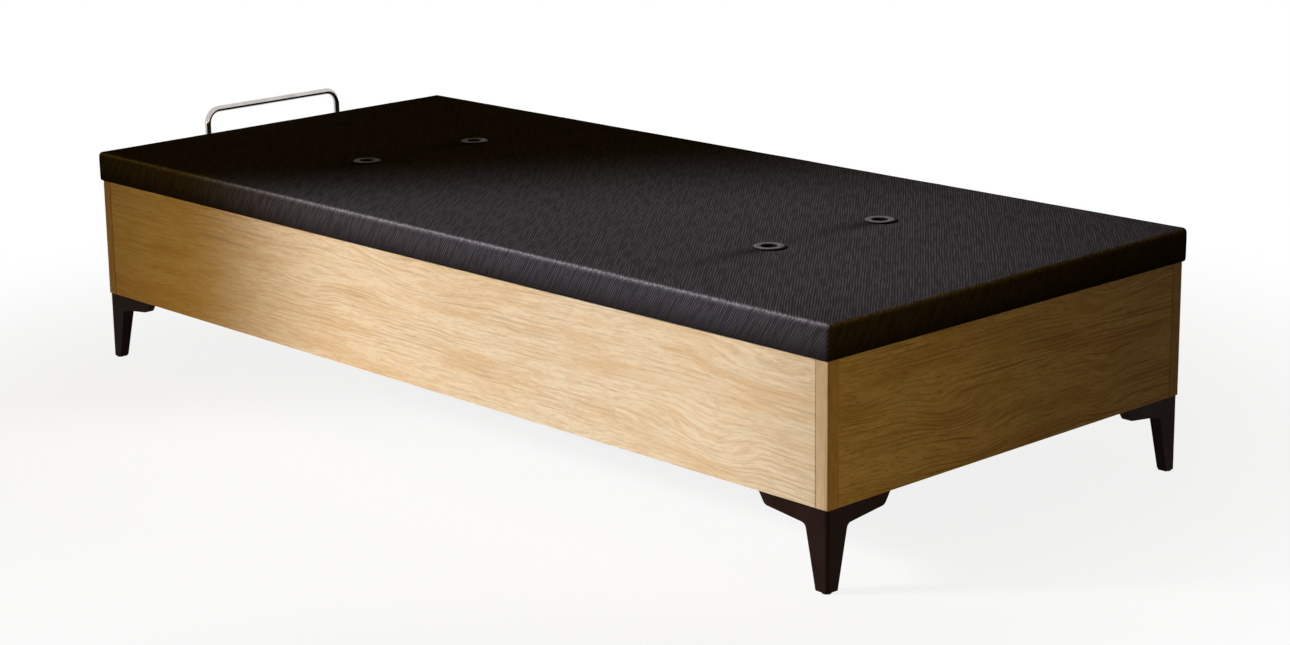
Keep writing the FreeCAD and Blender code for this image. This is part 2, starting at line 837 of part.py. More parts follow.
def make_lid_pins():
    """Pins that are riveted flush into the lid brackets and carry the lift arms' ends."""
    radius = number("pin_diameter / 2")
    head = number("pin_head_diameter / 2"), number("pin_head_height - layer_gap")
    play = number("running_play")
    solids = []
    bores = []
    for _, side in SIDES:
        inwards = Vector(0, -side, 0)
        head_face = number("arm_start") - play - head[1]
        start = at(side, "lid_pivot_x", "lid_pivot_z", head_face)
        shank = radius, number("bracket_start + plate_thickness") - head_face - head[1]
        solids.append(stack(start, inwards, (head, shank)))
        seat = at(side, "lid_pivot_x", "lid_pivot_z", "bracket_start")
        bores.append(Part.makeCylinder(radius, number("plate_thickness"), seat, inwards))
    keep("lid_pivot_pins", group("lid_pivot_pins", solids))
    return group("lid_pin_bores", bores)


def make_slot_bores():
    """The short slots in the lid brackets in which the control arms' pins travel."""
    radius = number("slot_pin_diameter / 2 + slot_play")
    travel = number("slot_travel")
    thick = number("plate_thickness")
    bores = []
    for _, side in SIDES:
        inwards = Vector(0, -side, 0)
        seat = at(side, "slot_x", "slot_z", "bracket_start")
        lean = math.radians(number("slot_lean"))
        step = Vector(-math.cos(lean), 0, math.sin(lean)) * travel
        ends = [Part.makeCylinder(radius, thick, seat + shift, inwards) for shift in (Vector(), step)]
        across = Vector(math.sin(lean), 0, math.cos(lean)) * radius
        corners = [seat + across, seat - across, seat - across + step, seat + across + step]
        strip = Part.Face(Part.makePolygon(corners + corners[:1])).extrude(inwards * thick)
        bores.append(ends[0].multiFuse([ends[1], strip]))
    return group("slot_bores", bores)


def bracket_screw_places():
    """X of the screws through a lid bracket's flange into the lid rail."""
    low = "bracket_low_x + bracket_margin"
    high = "bracket_high_x - bracket_margin"
    return [spread(step, BRACKET_SCREW_COUNT, low, high) for step in range(BRACKET_SCREW_COUNT)]


def make_bracket_screws():
    distance = "bracket_start + plate_thickness + bracket_flange / 2"
    length = number("bracket_screw_length + plate_thickness")
    play = number("bore_play")
    solids = []
    bores = []
    for _, side in SIDES:
        for x in bracket_screw_places():
            seat = at(side, x, "rail_bottom - plate_thickness", distance)
            solids.append(wood_screw(seat, Vector(0, 0, 1), length))
            radius = number("screw_diameter / 2") + play
            bores.append(Part.makeCylinder(radius, length + play, seat, Vector(0, 0, 1)))
    keep("lid_bracket_screws", group("lid_bracket_screws", solids))
    return group("lid_bracket_bores", bores)


def make_lid_bracket(name, side, *bores):
    """A steel angle under a lid rail: its web hangs inside the box and carries the pivots."""
    label = "lid_bracket_" + name
    y = layer_y(side, "bracket_start + plate_thickness / 2")
    body = new_body(label + "_blank", "0", y, "0")
    web = new_sketch(body, "XZ_Plane")
    draw_outline(
        web,
        (
            ("lid_pivot_x - bracket_margin", "lid_pivot_z - bracket_margin"),
            ("slot_x + bracket_margin", "lid_pivot_z - bracket_margin"),
            ("bracket_high_x", "rail_bottom - plate_thickness"),
            ("bracket_high_x", "rail_bottom"),
            ("bracket_low_x", "rail_bottom"),
            ("bracket_low_x", "rail_bottom - plate_thickness"),
        ),
    )
    pad(body, web, "plate_thickness", midplane=True)
    corner = "plate_corner_radius"
    low = "lid_pivot_z - bracket_margin"
    fillet(
        body,
        corner,
        lambda edge: runs_along(edge, Vector(0, 1, 0)) and all_at(edge, "Z", low),
    )
    flange = new_sketch(body, "XY_Plane", "rail_bottom - plate_thickness")
    inner = f"{-side} * (bracket_flange + plate_thickness / 2)"
    draw_rectangle(flange, "bracket_low_x", "0", "bracket_high_x", inner)
    pad(body, flange, "plate_thickness")
    return drilled(label, body, *bores)


# ---------------------------------------------------------------- gas springs


def spring_body(label, side):
    """A body whose X axis runs up the gas spring from its lower eye."""
    lean = "atan2(spring_high_z - spring_low_z; spring_high_x - spring_low_x)"
    y = layer_y(side, "spring_lane")
    place = "spring_low_x", y, "spring_low_z"
    return new_body(label, *place, axis=Vector(0, -1, 0), lean=lean)


def revolve_about_x(body, corners):
    """Turns a profile of (distance along X, radius) corners into a solid of revolution."""
    sketch = new_sketch(body, "XZ_Plane")
    draw_outline(sketch, corners)
    feature = body.newObject("PartDesign::Revolution", body.Name + "_turned")
    feature.Profile = sketch
    feature.ReferenceAxis = (sketch, ["H_Axis"])
    feature.Angle = 360
    return feature


def pad_eye(body, x):
    """The flat eye at one end of a gas spring."""
    sketch = new_sketch(body, "XZ_Plane")
    draw_circle(sketch, x, "0", "spring_eye_diameter / 2")
    pad(body, sketch, "spring_eye_thickness", midplane=True)
    hole = new_sketch(body, "XZ_Plane")
    draw_circle(hole, x, "0", "spring_stud_diameter / 2 + running_play")
    pocket = body.newObject("PartDesign::Pocket", body.Name + "_eye")
    pocket.Profile = hole
    pocket.Midplane = True
    pocket.setExpression("Length", formula("2 * spring_eye_thickness"))


def make_spring_cylinder(name, side):
    """The closed steel tube, with its neck and lower eye, open only at the rod's gland."""
    label = "gas_cylinder_" + name
    body = spring_body(label, side)
    outer = "spring_diameter / 2"
    bore = "(spring_diameter / 2 - spring_wall)"
    neck = "spring_rod_diameter / 2"
    gland = "(spring_rod_diameter / 2 + spring_side_play)"
    revolve_about_x(
        body,
        (
            ("0", "0"),
            ("spring_neck", "0"),
            ("spring_neck + spring_gland", "0"),
            ("spring_neck + spring_gland", bore),
            ("spring_tube_end - spring_gland", bore),
            ("spring_tube_end - spring_gland", gland),
            ("spring_tube_end", gland),
            ("spring_tube_end", outer),
            ("spring_neck", outer),
            ("spring_neck", neck),
            ("0", neck),
        ),
    )
    pad_eye(body, "0")
    return keep(label, body)


def make_spring_rod(name, side):
    """The chromed rod with its piston inside the cylinder and its eye on the lid bracket."""
    label = "gas_rod_" + name
    body = spring_body(label, side)
    rod = "spring_rod_diameter / 2"
    piston = "(spring_diameter / 2 - spring_wall - spring_side_play)"
    start = "(spring_neck + 2 * spring_gland)"
    revolve_about_x(
        body,
        (
            (start, "0"),
            ("spring_reach", "0"),
            ("spring_reach", rod),
            (start + " + piston_length", rod),
            (start + " + piston_length", piston),
            (start, piston),
        ),
    )
    pad_eye(body, "spring_reach")
    return keep(label, body)


# ---------------------------------------------------------------- lid


def lid_rectangle(body, lift, inset, radius, height):
    """A pad over the lid's plan, drawn in by an inset, with rounded corners."""
    sketch = new_sketch(body, "XY_Plane", lift)
    half_long = f"(lid_length / 2 - {inset})"
    half_wide = f"(lid_width / 2 - {inset})"
    draw_rectangle(sketch, "-" + half_long, "-" + half_wide, half_long, half_wide)
    pad(body, sketch, height)
    fillet(body, radius, lambda edge: runs_along(edge, Vector(0, 0, 1)))


def top_edges(body, radius, z):
    fillet(body, radius, lambda edge: all_at(edge, "Z", z))


def vent_places():
    """X and Y of the four vents, as formulas: the set lies a little towards the head end."""
    for end in (1, -1):
        for side in (1, -1):
            x = f"lid_mid + vent_shift + {end} * vent_spacing_x / 2"
            yield x, f"{side} * vent_spacing_y / 2"


def make_vent_bores():
    radius = number("vent_bore / 2 + vent_wall + cover_slack")
    bottom = number("rail_bottom")
    height = number("lid_thickness")
    bores = []
    for x, y in vent_places():
        bores.append(Part.makeCylinder(radius, height, Vector(number(x), number(y), bottom)))
    return group("vent_bores", bores)


def make_vent(step, x, y):
    """A plastic eyelet: a raised flat ring on the fabric and a tube through foam and board."""
    label = f"air_vent_{step}"
    body = new_body(label, x, y, "lid_top")
    sketch = new_sketch(body, "XZ_Plane")
    bore = "vent_bore / 2"
    tube = "(vent_bore / 2 + vent_wall)"
    ring = "vent_ring_diameter / 2"
    draw_outline(
        sketch,
        (
            (bore, "board_bottom - lid_top"),
            (tube, "board_bottom - lid_top"),
            (tube, "0"),
            (ring, "0"),
            (ring, "vent_ring_height"),
            (bore, "vent_ring_height"),
        ),
    )
    feature = body.newObject("PartDesign::Revolution", label + "_turned")
    feature.Profile = sketch
    feature.ReferenceAxis = (sketch, ["V_Axis"])
    feature.Angle = 360
    top_edges(body, "vent_rounding", "vent_ring_height")
    return keep(label, body)


def bar_leg_places():
    """Y of the mattress bar's two legs."""
    return [side * number("bar_spacing / 2") for side in (1, -1)]


def make_bar_bolts():
    """Machine screws from inside the foot rail into the mattress bar's legs."""
    radius = number("bar_bolt_diameter / 2")
    length = number("rail_width + core_inset + bar_stand_off + bar_bolt_grip")
    play = number("bore_play")
    seat_x = number("core_foot + rail_width")
    solids = []
    bores = []
    for y in bar_leg_places():
        seat = Vector(seat_x, y, number("bar_bolt_z"))
        heading = Vector(-1, 0, 0)
        head = 2 * radius, radius
        start = seat - heading * radius
        solids.append(stack(start, heading, (head, (radius, length))))
        bores.append(Part.makeCylinder(radius + play, length + play, seat, heading))
    keep("bar_bolts", group("bar_bolts", solids))
    return group("bar_bolt_bores", bores)


def make_mattress_bar(bolt_bores):
    """A round chromed bar bent to a U, whose legs stand against the lid's foot end."""
    label = "mattress_bar"
    body = new_body(label + "_blank", "bar_x", "0", "0")
    spine = new_sketch(body, "YZ_Plane")
    half = "bar_spacing / 2"
    turn_y = "(bar_spacing / 2 - bar_bend_radius)"
    turn_z = "(bar_top - bar_bend_radius)"
    runs = (
        (("-" + half, "bar_bottom"), ("-" + half, turn_z)),
        (("-" + turn_y, "bar_top"), (turn_y, "bar_top")),
        ((half, turn_z), (half, "bar_bottom")),
    )
    for step, run in enumerate(runs):
        start, end = [Vector(number(y), number(z), 0) for y, z in run]
        spine.addGeometry(Part.LineSegment(start, end), False)
        fix_point(spine, step, 1, *run[0])
        fix_point(spine, step, 2, *run[1])
    quarter = math.pi / 2
    radius = number("bar_bend_radius")
    for step, (side, start) in enumerate(((-1, quarter), (1, 0)), start=3):
        centre = Vector(side * number(turn_y), number(turn_z), 0)
        circle = Part.Circle(centre, Vector(0, 0, 1), radius)
        spine.addGeometry(Part.ArcOfCircle(circle, start, start + quarter), False)
    for arc, start, end in ((3, (1, 1), (0, 2)), (4, (2, 1), (1, 2))):
        spine.addConstraint(Sketcher.Constraint("Coincident", arc, 1, *start))
        spine.addConstraint(Sketcher.Constraint("Coincident", arc, 2, *end))
        fix_radius(spine, arc, "bar_bend_radius")
    section = new_sketch(body, "XY_Plane", "bar_bottom")
    draw_circle(section, "0", "-" + half, "bar_diameter / 2")
    pipe = body.newObject("PartDesign::AdditivePipe", label + "_pipe")
    pipe.Profile = section
    pipe.Spine = (spine, [])
    return drilled(label, body, bolt_bores)


def make_side_rail(name, side, *bores):
    """A long rail of the lid frame, with rounded outer corners."""
    label = "lid_rail_" + name
    body = new_body(label + "_blank", "lid_mid", "0", "rail_bottom")
    sketch = new_sketch(body, "XY_Plane")
    inner = f"{side} * (core_width / 2 - rail_width)"
    outer = f"{side} * core_width / 2"
    draw_rectangle(sketch, "-core_length / 2", inner, "core_length / 2", outer)
    pad(body, sketch, "rail_height")
    fillet(
        body,
        "lid_corner_radius - core_inset",
        lambda edge: runs_along(edge, Vector(0, 0, 1)) and all_at(edge, "Y", outer),
    )
    return drilled(label, body, *bores) if bores else keep(label, body)


def make_cross_rail(label, x, width, *bores):
    """A rail or bar of the lid frame between the two long rails."""
    body = new_body(label + "_blank", x, "0", "rail_bottom")
    sketch = new_sketch(body, "XY_Plane")
    half = "(core_width / 2 - rail_width)"
    draw_rectangle(sketch, f"-{width} / 2", "-" + half, f"{width} / 2", half)
    pad(body, sketch, "rail_height")
    return drilled(label, body, *bores)


def make_lid_board(*bores):
    body = new_body("lid_board_blank", "lid_mid", "0", "0")
    radius = "lid_corner_radius - core_inset"
    lid_rectangle(body, "board_bottom", "core_inset", radius, "lid_board_thickness")
    return drilled("lid_board", body, *bores)


def make_foam_pad(*bores):
    """The foam over the lid board, with softly rounded top edges."""
    body = new_body("foam_pad_blank", "lid_mid", "0", "0")
    radius = "lid_corner_radius - core_inset"
    lid_rectangle(body, "foam_bottom", "core_inset", radius, "foam_top - foam_bottom")
    top_edges(body, "lid_edge_radius - core_inset", "foam_top")
    return drilled("foam_pad", body, *bores)


def make_fabric_cover(*bores):
    """The fabric over top and sides, turned in under the rails by a narrow strip."""
    body = new_body("fabric_cover_blank", "lid_mid", "0", "0")
    lid_rectangle(body, "cover_bottom", "0", "lid_corner_radius", "lid_top - cover_bottom")
    top_edges(body, "lid_edge_radius", "lid_top")
    doc.recompute()
    tip = body.Tip
    bottom = [
        f"Face{n}"
        for n, face in enumerate(tip.Shape.Faces, start=1)
        if abs(face.BoundBox.ZMax - number("cover_bottom")) < 0.01
    ]
    shell = body.newObject("PartDesign::Thickness", "fabric_cover_shell")
    shell.Base = (tip, bottom)
    shell.setExpression("Value", formula("fabric_thickness"))
    shell.Reversed = True
    shell.Join = "Intersection"
    strip = new_sketch(body, "XY_Plane", "cover_bottom")
    for inset in ("fabric_thickness / 2", "(core_inset + fabric_turn_in)"):
        half_long = f"(lid_length / 2 - {inset})"
        half_wide = f"(lid_width / 2 - {inset})"
        draw_rectangle(strip, "-" + half_long, "-" + half_wide, half_long, half_wide)
    pad(body, strip, "fabric_thickness")
    return drilled("fabric_cover", body, *bores)


# ---------------------------------------------------------------- the whole bed


def build_box():
    dowel_bores = make_dowels()
    floor_bores = make_floor_screws()
    leg_bores = make_leg_screws()
    glide_bores = make_glides()
    plate_bores = make_plate_screws()
    for name, side in SIDES:
        label = "side_panel_" + name
        turn = 0 if side > 0 else 180
        y = f"{side} * box_width / 2"
        length = "box_length - 2 * post_width"
        holes = (dowel_bores, floor_bores, leg_bores, plate_bores)
        make_panel(label, length, "lid_mid", y, turn, *holes)
        make_ledger(name, side, floor_bores)
    for name, end in ENDS:
        x = f"lid_mid + {end} * box_length / 2"
        length = "box_width - 2 * post_width"
        make_panel(name + "_panel", length, x, "0", -90 * end, dowel_bores, leg_bores)
        make_floor_board(name, end)
    for name, end, side, turn in CORNERS:
        make_post(name, end, side, turn, dowel_bores)
        make_leg(name, end, side, turn, leg_bores, glide_bores)
    for step in range(SLAT_COUNT):
        make_slat(step, floor_bores)
    return plate_bores


def build_mechanism(plate_bores):
    pin_bores = make_base_pins()
    low_bores = spring_studs(
        "spring_lower_studs", "spring_low_x", "spring_low_z", "0", "plate_thickness"
    )
    high_bores = spring_studs(
        "spring_upper_studs",
        "spring_high_x",
        "spring_high_z",
        "bracket_start",
        "bracket_start + plate_thickness",
    )
    lid_bores = make_lid_pins()
    slot_bores = make_slot_bores()
    screw_bores = make_bracket_screws()
    make_slot_pins()
    lift_ends = "lift_x", "lift_z", "lid_pivot_x", "lid_pivot_z"
    control_ends = "control_x", "control_z", "slot_x", "slot_z"
    for name, side in SIDES:
        make_base_plate(name, side, plate_bores, pin_bores, low_bores)
        pivot = "pin_diameter / 2 + running_play"
        make_arm("lift_arm_" + name, side, lift_ends, "arm_width", "arm_start", pivot)
        pressed = "slot_pin_diameter / 2"
        make_arm("control_arm_" + name, side, control_ends, "control_width", "control_start", pressed)
        make_lid_bracket(name, side, lid_bores, slot_bores, high_bores, screw_bores)
        make_spring_cylinder(name, side)
        make_spring_rod(name, side)
    return screw_bores


def build_lid(screw_bores):
    vent_bores = make_vent_bores()
    bolt_bores = make_bar_bolts()
    for name, side in SIDES:
        make_side_rail(name, side, screw_bores)
    for name, end in ENDS:
        x = f"lid_mid + {end} * (core_length - rail_width) / 2"
        make_cross_rail("lid_rail_" + name, x, "rail_width", bolt_bores)
    for step in range(1, CROSS_BAR_COUNT + 1):
        x = f"lid_mid + {step - (CROSS_BAR_COUNT + 1) / 2} * cross_bar_spacing"
        make_cross_rail(f"lid_cross_bar_{step}", x, "cross_bar_width")
    make_lid_board(vent_bores)
    make_foam_pad(vent_bores)
    make_fabric_cover(vent_bores, bolt_bores)
    for step, (x, y) in enumerate(vent_places(), start=1):
        make_vent(step, x, y)
    make_mattress_bar(bolt_bores)


def check_document():
    """Stops with a plain message if any object or sub-part didn't build."""
    for thing in doc.Objects:
        if "Invalid" in thing.State or "Error" in thing.State:
            raise SystemExit(f"{thing.Label} failed: {thing.State}")
    for label, piece in nodes.items():
        if piece.Shape.isNull() or not piece.Shape.isValid():
            raise SystemExit(f"{label} has no valid shape")


def write_steps():
    os.makedirs("parts", exist_ok=True)
    for label, piece in nodes.items():
        shape = piece.Shape
        shape.exportStep(f"parts/{label}.step")
        box = shape.BoundBox
        print(
            f"{label:24} solids {len(shape.Solids):2}  cm3 {shape.Volume / 1000:9.2f}"
            f"  x {box.XMin:8.1f} {box.XMax:8.1f}  y {box.YMin:7.1f} {box.YMax:7.1f}"
            f"  z {box.ZMin:6.1f} {box.ZMax:6.1f}"
        )


build_lid(build_mechanism(build_box()))
doc.recompute()
check_document()
write_steps()
print(len(nodes), "sub-parts")
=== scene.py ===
# %% [markdown]
# # A lift-up storage bed
# A single bed whose whole upholstered top is a lid. Under it stands a closed wooden box on four
# bracket legs. The construction comes finished from the CAD frame. This lesson gives each piece
# its finish, and sews the soft cover that stretches over the lid. The frame is loaded first, and
# nothing in it is moved: a new piece is made where the frame says, so it needs no fitting.

import json
import math

import bmesh
import bpy
from mathutils import Matrix, Vector, noise


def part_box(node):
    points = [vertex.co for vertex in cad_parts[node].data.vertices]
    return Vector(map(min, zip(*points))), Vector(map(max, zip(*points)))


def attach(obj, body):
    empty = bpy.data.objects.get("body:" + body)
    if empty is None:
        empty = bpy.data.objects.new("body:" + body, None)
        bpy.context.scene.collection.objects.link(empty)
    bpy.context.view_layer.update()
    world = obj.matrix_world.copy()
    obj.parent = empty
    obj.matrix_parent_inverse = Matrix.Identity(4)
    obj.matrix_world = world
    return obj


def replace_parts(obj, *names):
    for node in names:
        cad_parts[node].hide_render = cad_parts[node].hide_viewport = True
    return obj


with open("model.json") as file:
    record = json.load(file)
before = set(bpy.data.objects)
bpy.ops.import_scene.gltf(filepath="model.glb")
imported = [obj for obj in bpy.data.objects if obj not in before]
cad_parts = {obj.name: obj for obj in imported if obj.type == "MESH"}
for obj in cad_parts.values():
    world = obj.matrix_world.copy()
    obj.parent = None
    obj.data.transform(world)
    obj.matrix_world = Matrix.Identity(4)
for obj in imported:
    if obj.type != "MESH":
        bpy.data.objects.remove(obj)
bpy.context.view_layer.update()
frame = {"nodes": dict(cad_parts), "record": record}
nodes = frame["nodes"]
record = frame["record"]

# %% Units and lookups
MM = 0.001
body_of_node = {
    member: body for body, members in record["behaviour"]["bodies"].items() for member in members
}
slot_of_node = {part["node"]: part["material_slot"] for part in record["subparts"]}
print("slots:", sorted(set(slot_of_node.values())))

# %% [markdown]
# ## Small helpers for shader nodes
# A finish is a small network of nodes. It could be drawn by hand in the editor, but in a script
# every node would take four or five lines. These helpers add a node and join its inputs in one
# call. Each gives back what the next line needs, so a network reads like a recipe.

# %% Adding a node
def join_inputs(tree, made, inputs):
    """Links each input that is another node's output, and writes each plain value."""
    for name, value in inputs.items():
        if isinstance(value, bpy.types.NodeSocket):
            tree.links.new(value, made.inputs[name])
        else:
            made.inputs[name].default_value = value


def node(tree, kind, inputs, **settings):
    """Adds a node with its settings and its inputs."""
    made = tree.nodes.new("ShaderNode" + kind)
    for name, value in settings.items():
        setattr(made, name, value)
    join_inputs(tree, made, inputs)
    return made


print("helpers:", node.__name__, "and", join_inputs.__name__)

# %% Arithmetic with nodes
def maths(tree, operation, *values):
    """One step of arithmetic. Each value is a number or another node's output."""
    return node(tree, "Math", dict(enumerate(values)), operation=operation).outputs[0]


def product(tree, first, *others):
    """All the values multiplied."""
    for value in others:
        first = maths(tree, "MULTIPLY", first, value)
    return first


def total(tree, first, *others):
    """All the values added."""
    for value in others:
        first = maths(tree, "ADD", first, value)
    return first


print("helpers:", [helper.__name__ for helper in (maths, product, total)])

# %% Clouds, ramps and mixed colours
# A Mix node has sockets for every kind of value. These are the ones for colours.
MIX_FACTOR, MIX_A, MIX_B, MIX_COLOR = 0, 6, 7, 2


def stretched(tree, vector, factors):
    """The vector with each axis multiplied, which squeezes a pattern along that axis."""
    return node(tree, "VectorMath", {0: vector, 1: factors}, operation="MULTIPLY").outputs[0]


def cloud(tree, vector, scale=1.0, detail=2.0, distortion=0.0):
    """A soft random value from 0 to 1."""
    inputs = {"Vector": vector, "Scale": scale, "Detail": detail, "Distortion": distortion}
    return node(tree, "TexNoise", inputs).outputs[0]


def squeezed_cloud(tree, vector, repeats, detail=2.0):
    """A cloud with its own number of repeats per metre along each axis."""
    return cloud(tree, stretched(tree, vector, repeats), detail=detail)


def ramp(tree, value, low, high, start=0.0, end=1.0):
    """Turns the span from low to high smoothly into start to end."""
    inputs = {"Value": value, 1: low, 2: high, 3: start, 4: end}
    return node(tree, "MapRange", inputs, interpolation_type="SMOOTHSTEP").outputs[0]


def between(tree, value, start, end):
    """Turns a value from 0 to 1 smoothly into start to end."""
    return ramp(tree, value, 0.0, 1.0, start, end)


def blended(tree, factor, first, second):
    """A colour between two colours."""
    inputs = {MIX_FACTOR: factor, MIX_A: first, MIX_B: second}
    return node(tree, "Mix", inputs, data_type="RGBA").outputs[MIX_COLOR]


print("helpers:", [helper.__name__ for helper in (cloud, squeezed_cloud, ramp, between, blended)])

# %% Groups
def new_group(name, inputs, outputs):
    """An empty node group with named sockets: each input has a name, a kind and a usual value."""
    group = bpy.data.node_groups.new(name, "ShaderNodeTree")
    for label, kind, value in inputs:
        socket = group.interface.new_socket(
            name=label, in_out="INPUT", socket_type="NodeSocket" + kind
        )
        if value is not None:
            socket.default_value = value
    for label in outputs:
        group.interface.new_socket(name=label, in_out="OUTPUT", socket_type="NodeSocketFloat")
    entry = group.nodes.new("NodeGroupInput").outputs
    leave = group.nodes.new("NodeGroupOutput").inputs
    return group, entry, leave


def hand_out(group, leave, results):
    """Joins each result to the group's output of that name."""
    for label, value in results.items():
        group.links.new(value, leave[label])


def place_group(tree, group, inputs):
    """Puts a group into a material and gives back its outputs by name."""
    made = tree.nodes.new("ShaderNodeGroup")
    made.node_tree = group
    join_inputs(tree, made, inputs)
    return made.outputs


print("helpers:", [helper.__name__ for helper in (new_group, hand_out, place_group)])

# %% Materials
def new_material(name, **constants):
    """A material with one Principled shader. Constants stay on the shader's own sockets."""
    material = bpy.data.materials.new(name)
    material.use_nodes = True
    tree = material.node_tree
    shader = tree.nodes["Principled BSDF"]
    for label, value in constants.items():
        shader.inputs[label.replace("_", " ")].default_value = value
    return material, tree, shader.inputs


def bump(tree, inputs, height, distance):
    """Gives a material its relief, as deep as distance in metres."""
    made = node(tree, "Bump", {"Height": height, "Distance": distance})
    tree.links.new(made.outputs[0], inputs["Normal"])


def place_in_space(tree, turn=(0, 0, 0), shift=(0, 0, 0)):
    """Object coordinates, turned so that a pattern's X runs along the piece."""
    space = node(tree, "TexCoord", {}).outputs["Object"]
    inputs = {"Vector": space, "Rotation": turn, "Location": shift}
    return node(tree, "Mapping", inputs).outputs[0]


print("helpers:", [helper.__name__ for helper in (new_material, bump, place_in_space)])

# %% [markdown]
# ## Wood grain
# Grain is the cut through a tree's yearly rings. Along a board it runs in long lines that wander
# a little and open here and there to an eye-shaped swirl. A picture of wood would repeat, and
# blur close up, so the grain is made of clouds. A cloud that repeats more often across the board
# than along it gives long thin shapes. The group's X runs along the board and its Z across it.
#
# The space is bent first. A broad sway moves the lines across the board, the tops of slow hills
# push them apart into eyes, and a ripple keeps every line uneven. What follows reads the bent
# space, so a fibre never crosses a ring.

# %% Bending the grain
# Repeats per metre along the board, through it and across it.
SWAY = (1.3, 3.0, 4.0)
HILLS = (3.2, 6.0, 9.0)
RIPPLE = (9.0, 15.0, 21.0)
# How far each of them pushes the lines across the board.
SWAY_PUSH = 50 * MM
EYE_PUSH = 38 * MM
RIPPLE_PUSH = 8 * MM


def bent_space(group, space, waviness):
    """The space in which the grain's lines are straight."""
    sway = squeezed_cloud(group, space, SWAY, detail=1.0)
    eyes = ramp(group, squeezed_cloud(group, space, HILLS, detail=1.0), 0.5, 0.9)
    ripple = squeezed_cloud(group, space, RIPPLE)
    pushes = ((sway, SWAY_PUSH), (eyes, EYE_PUSH), (ripple, RIPPLE_PUSH))
    push = total(group, *(product(group, *pair) for pair in pushes))
    offset = node(group, "CombineXYZ", {2: product(group, push, waviness)}).outputs[0]
    return node(group, "VectorMath", {0: space, 1: offset}, operation="ADD").outputs[0]


print("eyes reach", round(EYE_PUSH / MM), "mm")

# %% [markdown]
# Then come the marks. Late wood draws a thin dark line in every ring, which rises slowly and
# ends abruptly, as a season does. The lines break up, and are faint where the board shows little
# figure. Short dashes come in clumps, with fine pores between them.

# %% Lines, dashes and pores
RING_WIDTHS = (2.0, 40.0, 60.0)
BREAKS = (7.0, 50.0, 70.0)
FIGURE = (2.6, 6.0, 10.0)
CLUMPS = (3.6, 9.0, 20.0)
DASHES = (5.5, 90.0, 280.0)
PORES = (60.0, 220.0, 460.0)
RING_WIDTH_PUSH = 12 * MM
RING_LEAN = 0.6
LATE_WOOD_SHARE = 0.35
DASH_STRENGTH = 0.85
PORE_STRENGTH = 0.45


def late_wood(group, across, per_metre):
    """Thin dark lines, one in every ring."""
    phase = maths(group, "FRACT", product(group, across, per_metre))
    rise = ramp(group, phase, 1 - LATE_WOOD_SHARE, 0.97)
    fall = ramp(group, phase, 0.98, 1.0, start=1.0, end=0.0)
    return product(group, rise, fall)


def ring_lines(group, space, bent, per_metre):
    """Late-wood lines of uneven spacing and strength. The rings lean through the board."""
    axes = node(group, "SeparateXYZ", {0: bent}).outputs
    uneven = squeezed_cloud(group, bent, RING_WIDTHS, detail=1.0)
    leaning = product(group, axes[1], RING_LEAN)
    across = total(group, axes[2], leaning, product(group, uneven, RING_WIDTH_PUSH))
    broken = ramp(group, squeezed_cloud(group, bent, BREAKS), 0.4, 0.6)
    figure = ramp(group, squeezed_cloud(group, space, FIGURE), 0.4, 0.6, start=0.3)
    return product(group, late_wood(group, across, per_metre), broken, figure)


def dashes_and_pores(group, space, bent):
    """Short dark marks along the grain."""
    clumps = ramp(group, squeezed_cloud(group, space, CLUMPS), 0.4, 0.64, start=0.12)
    dashes = ramp(group, squeezed_cloud(group, bent, DASHES), 0.53, 0.7)
    pores = ramp(group, squeezed_cloud(group, bent, PORES, detail=1.0), 0.52, 0.7)
    in_clumps = product(group, clumps, DASH_STRENGTH, dashes)
    return maths(group, "MAXIMUM", in_clumps, product(group, pores, PORE_STRENGTH))


print("a dash is about", round(1000 / DASHES[0]), "mm long")

# %% [markdown]
# The group puts these together and adds two plain clouds: broad soft bands that shade the board,
# and fine fibres. The fibres stand up and the marks lie deeper, which is the relief that a hand
# would feel.

# %% Wood grain group
BANDS = (4.0, 17.0, 32.0)
FIBRES = (22.0, 130.0, 270.0)
FIBRE_HEIGHT = 0.5


def make_wood_grain():
    group, entry, leave = new_group(
        "Wood grain",
        [
            ("Vector", "Vector", None),
            ("Rings per metre", "Float", 120.0),
            ("Waviness", "Float", 1.0),
            ("Streaks amount", "Float", 0.5),
        ],
        ["Bands", "Fibres", "Streaks", "Height"],
    )
    space = entry["Vector"]
    bent = bent_space(group, space, entry["Waviness"])
    lines = ring_lines(group, space, bent, entry["Rings per metre"])
    dark = maths(group, "MAXIMUM", lines, dashes_and_pores(group, space, bent))
    streaks = product(group, dark, entry["Streaks amount"])
    bands = squeezed_cloud(group, bent, BANDS, detail=4.0)
    fibres = squeezed_cloud(group, bent, FIBRES, detail=4.0)
    relief = maths(group, "SUBTRACT", product(group, fibres, FIBRE_HEIGHT), streaks)
    results = {"Bands": bands, "Fibres": fibres, "Streaks": streaks, "Height": relief}
    hand_out(group, leave, results)
    return group


WOOD_GRAIN = make_wood_grain()
print("wood grain:", len(WOOD_GRAIN.nodes), "nodes")

# %% [markdown]
# ## Worn edges and handling marks
# Hands and shoes polish the corners of a thing first. The wear could be painted on by hand, but
# the Bevel node finds every corner by itself. It returns the direction that a rounded corner
# would have there, so wherever that differs from the real surface, a corner is near. A cloud
# breaks the mask up, because wear is never even. Handling marks are faint large smears that make
# a gloss a little duller here and there, and a fine grime.

# %% Edge and smear groups
ON_A_FLAT, ON_A_CORNER = 1.0, 0.88
SMEARS_LONGER = (1, 1.6, 1)
GRIME_FINER = 14.0


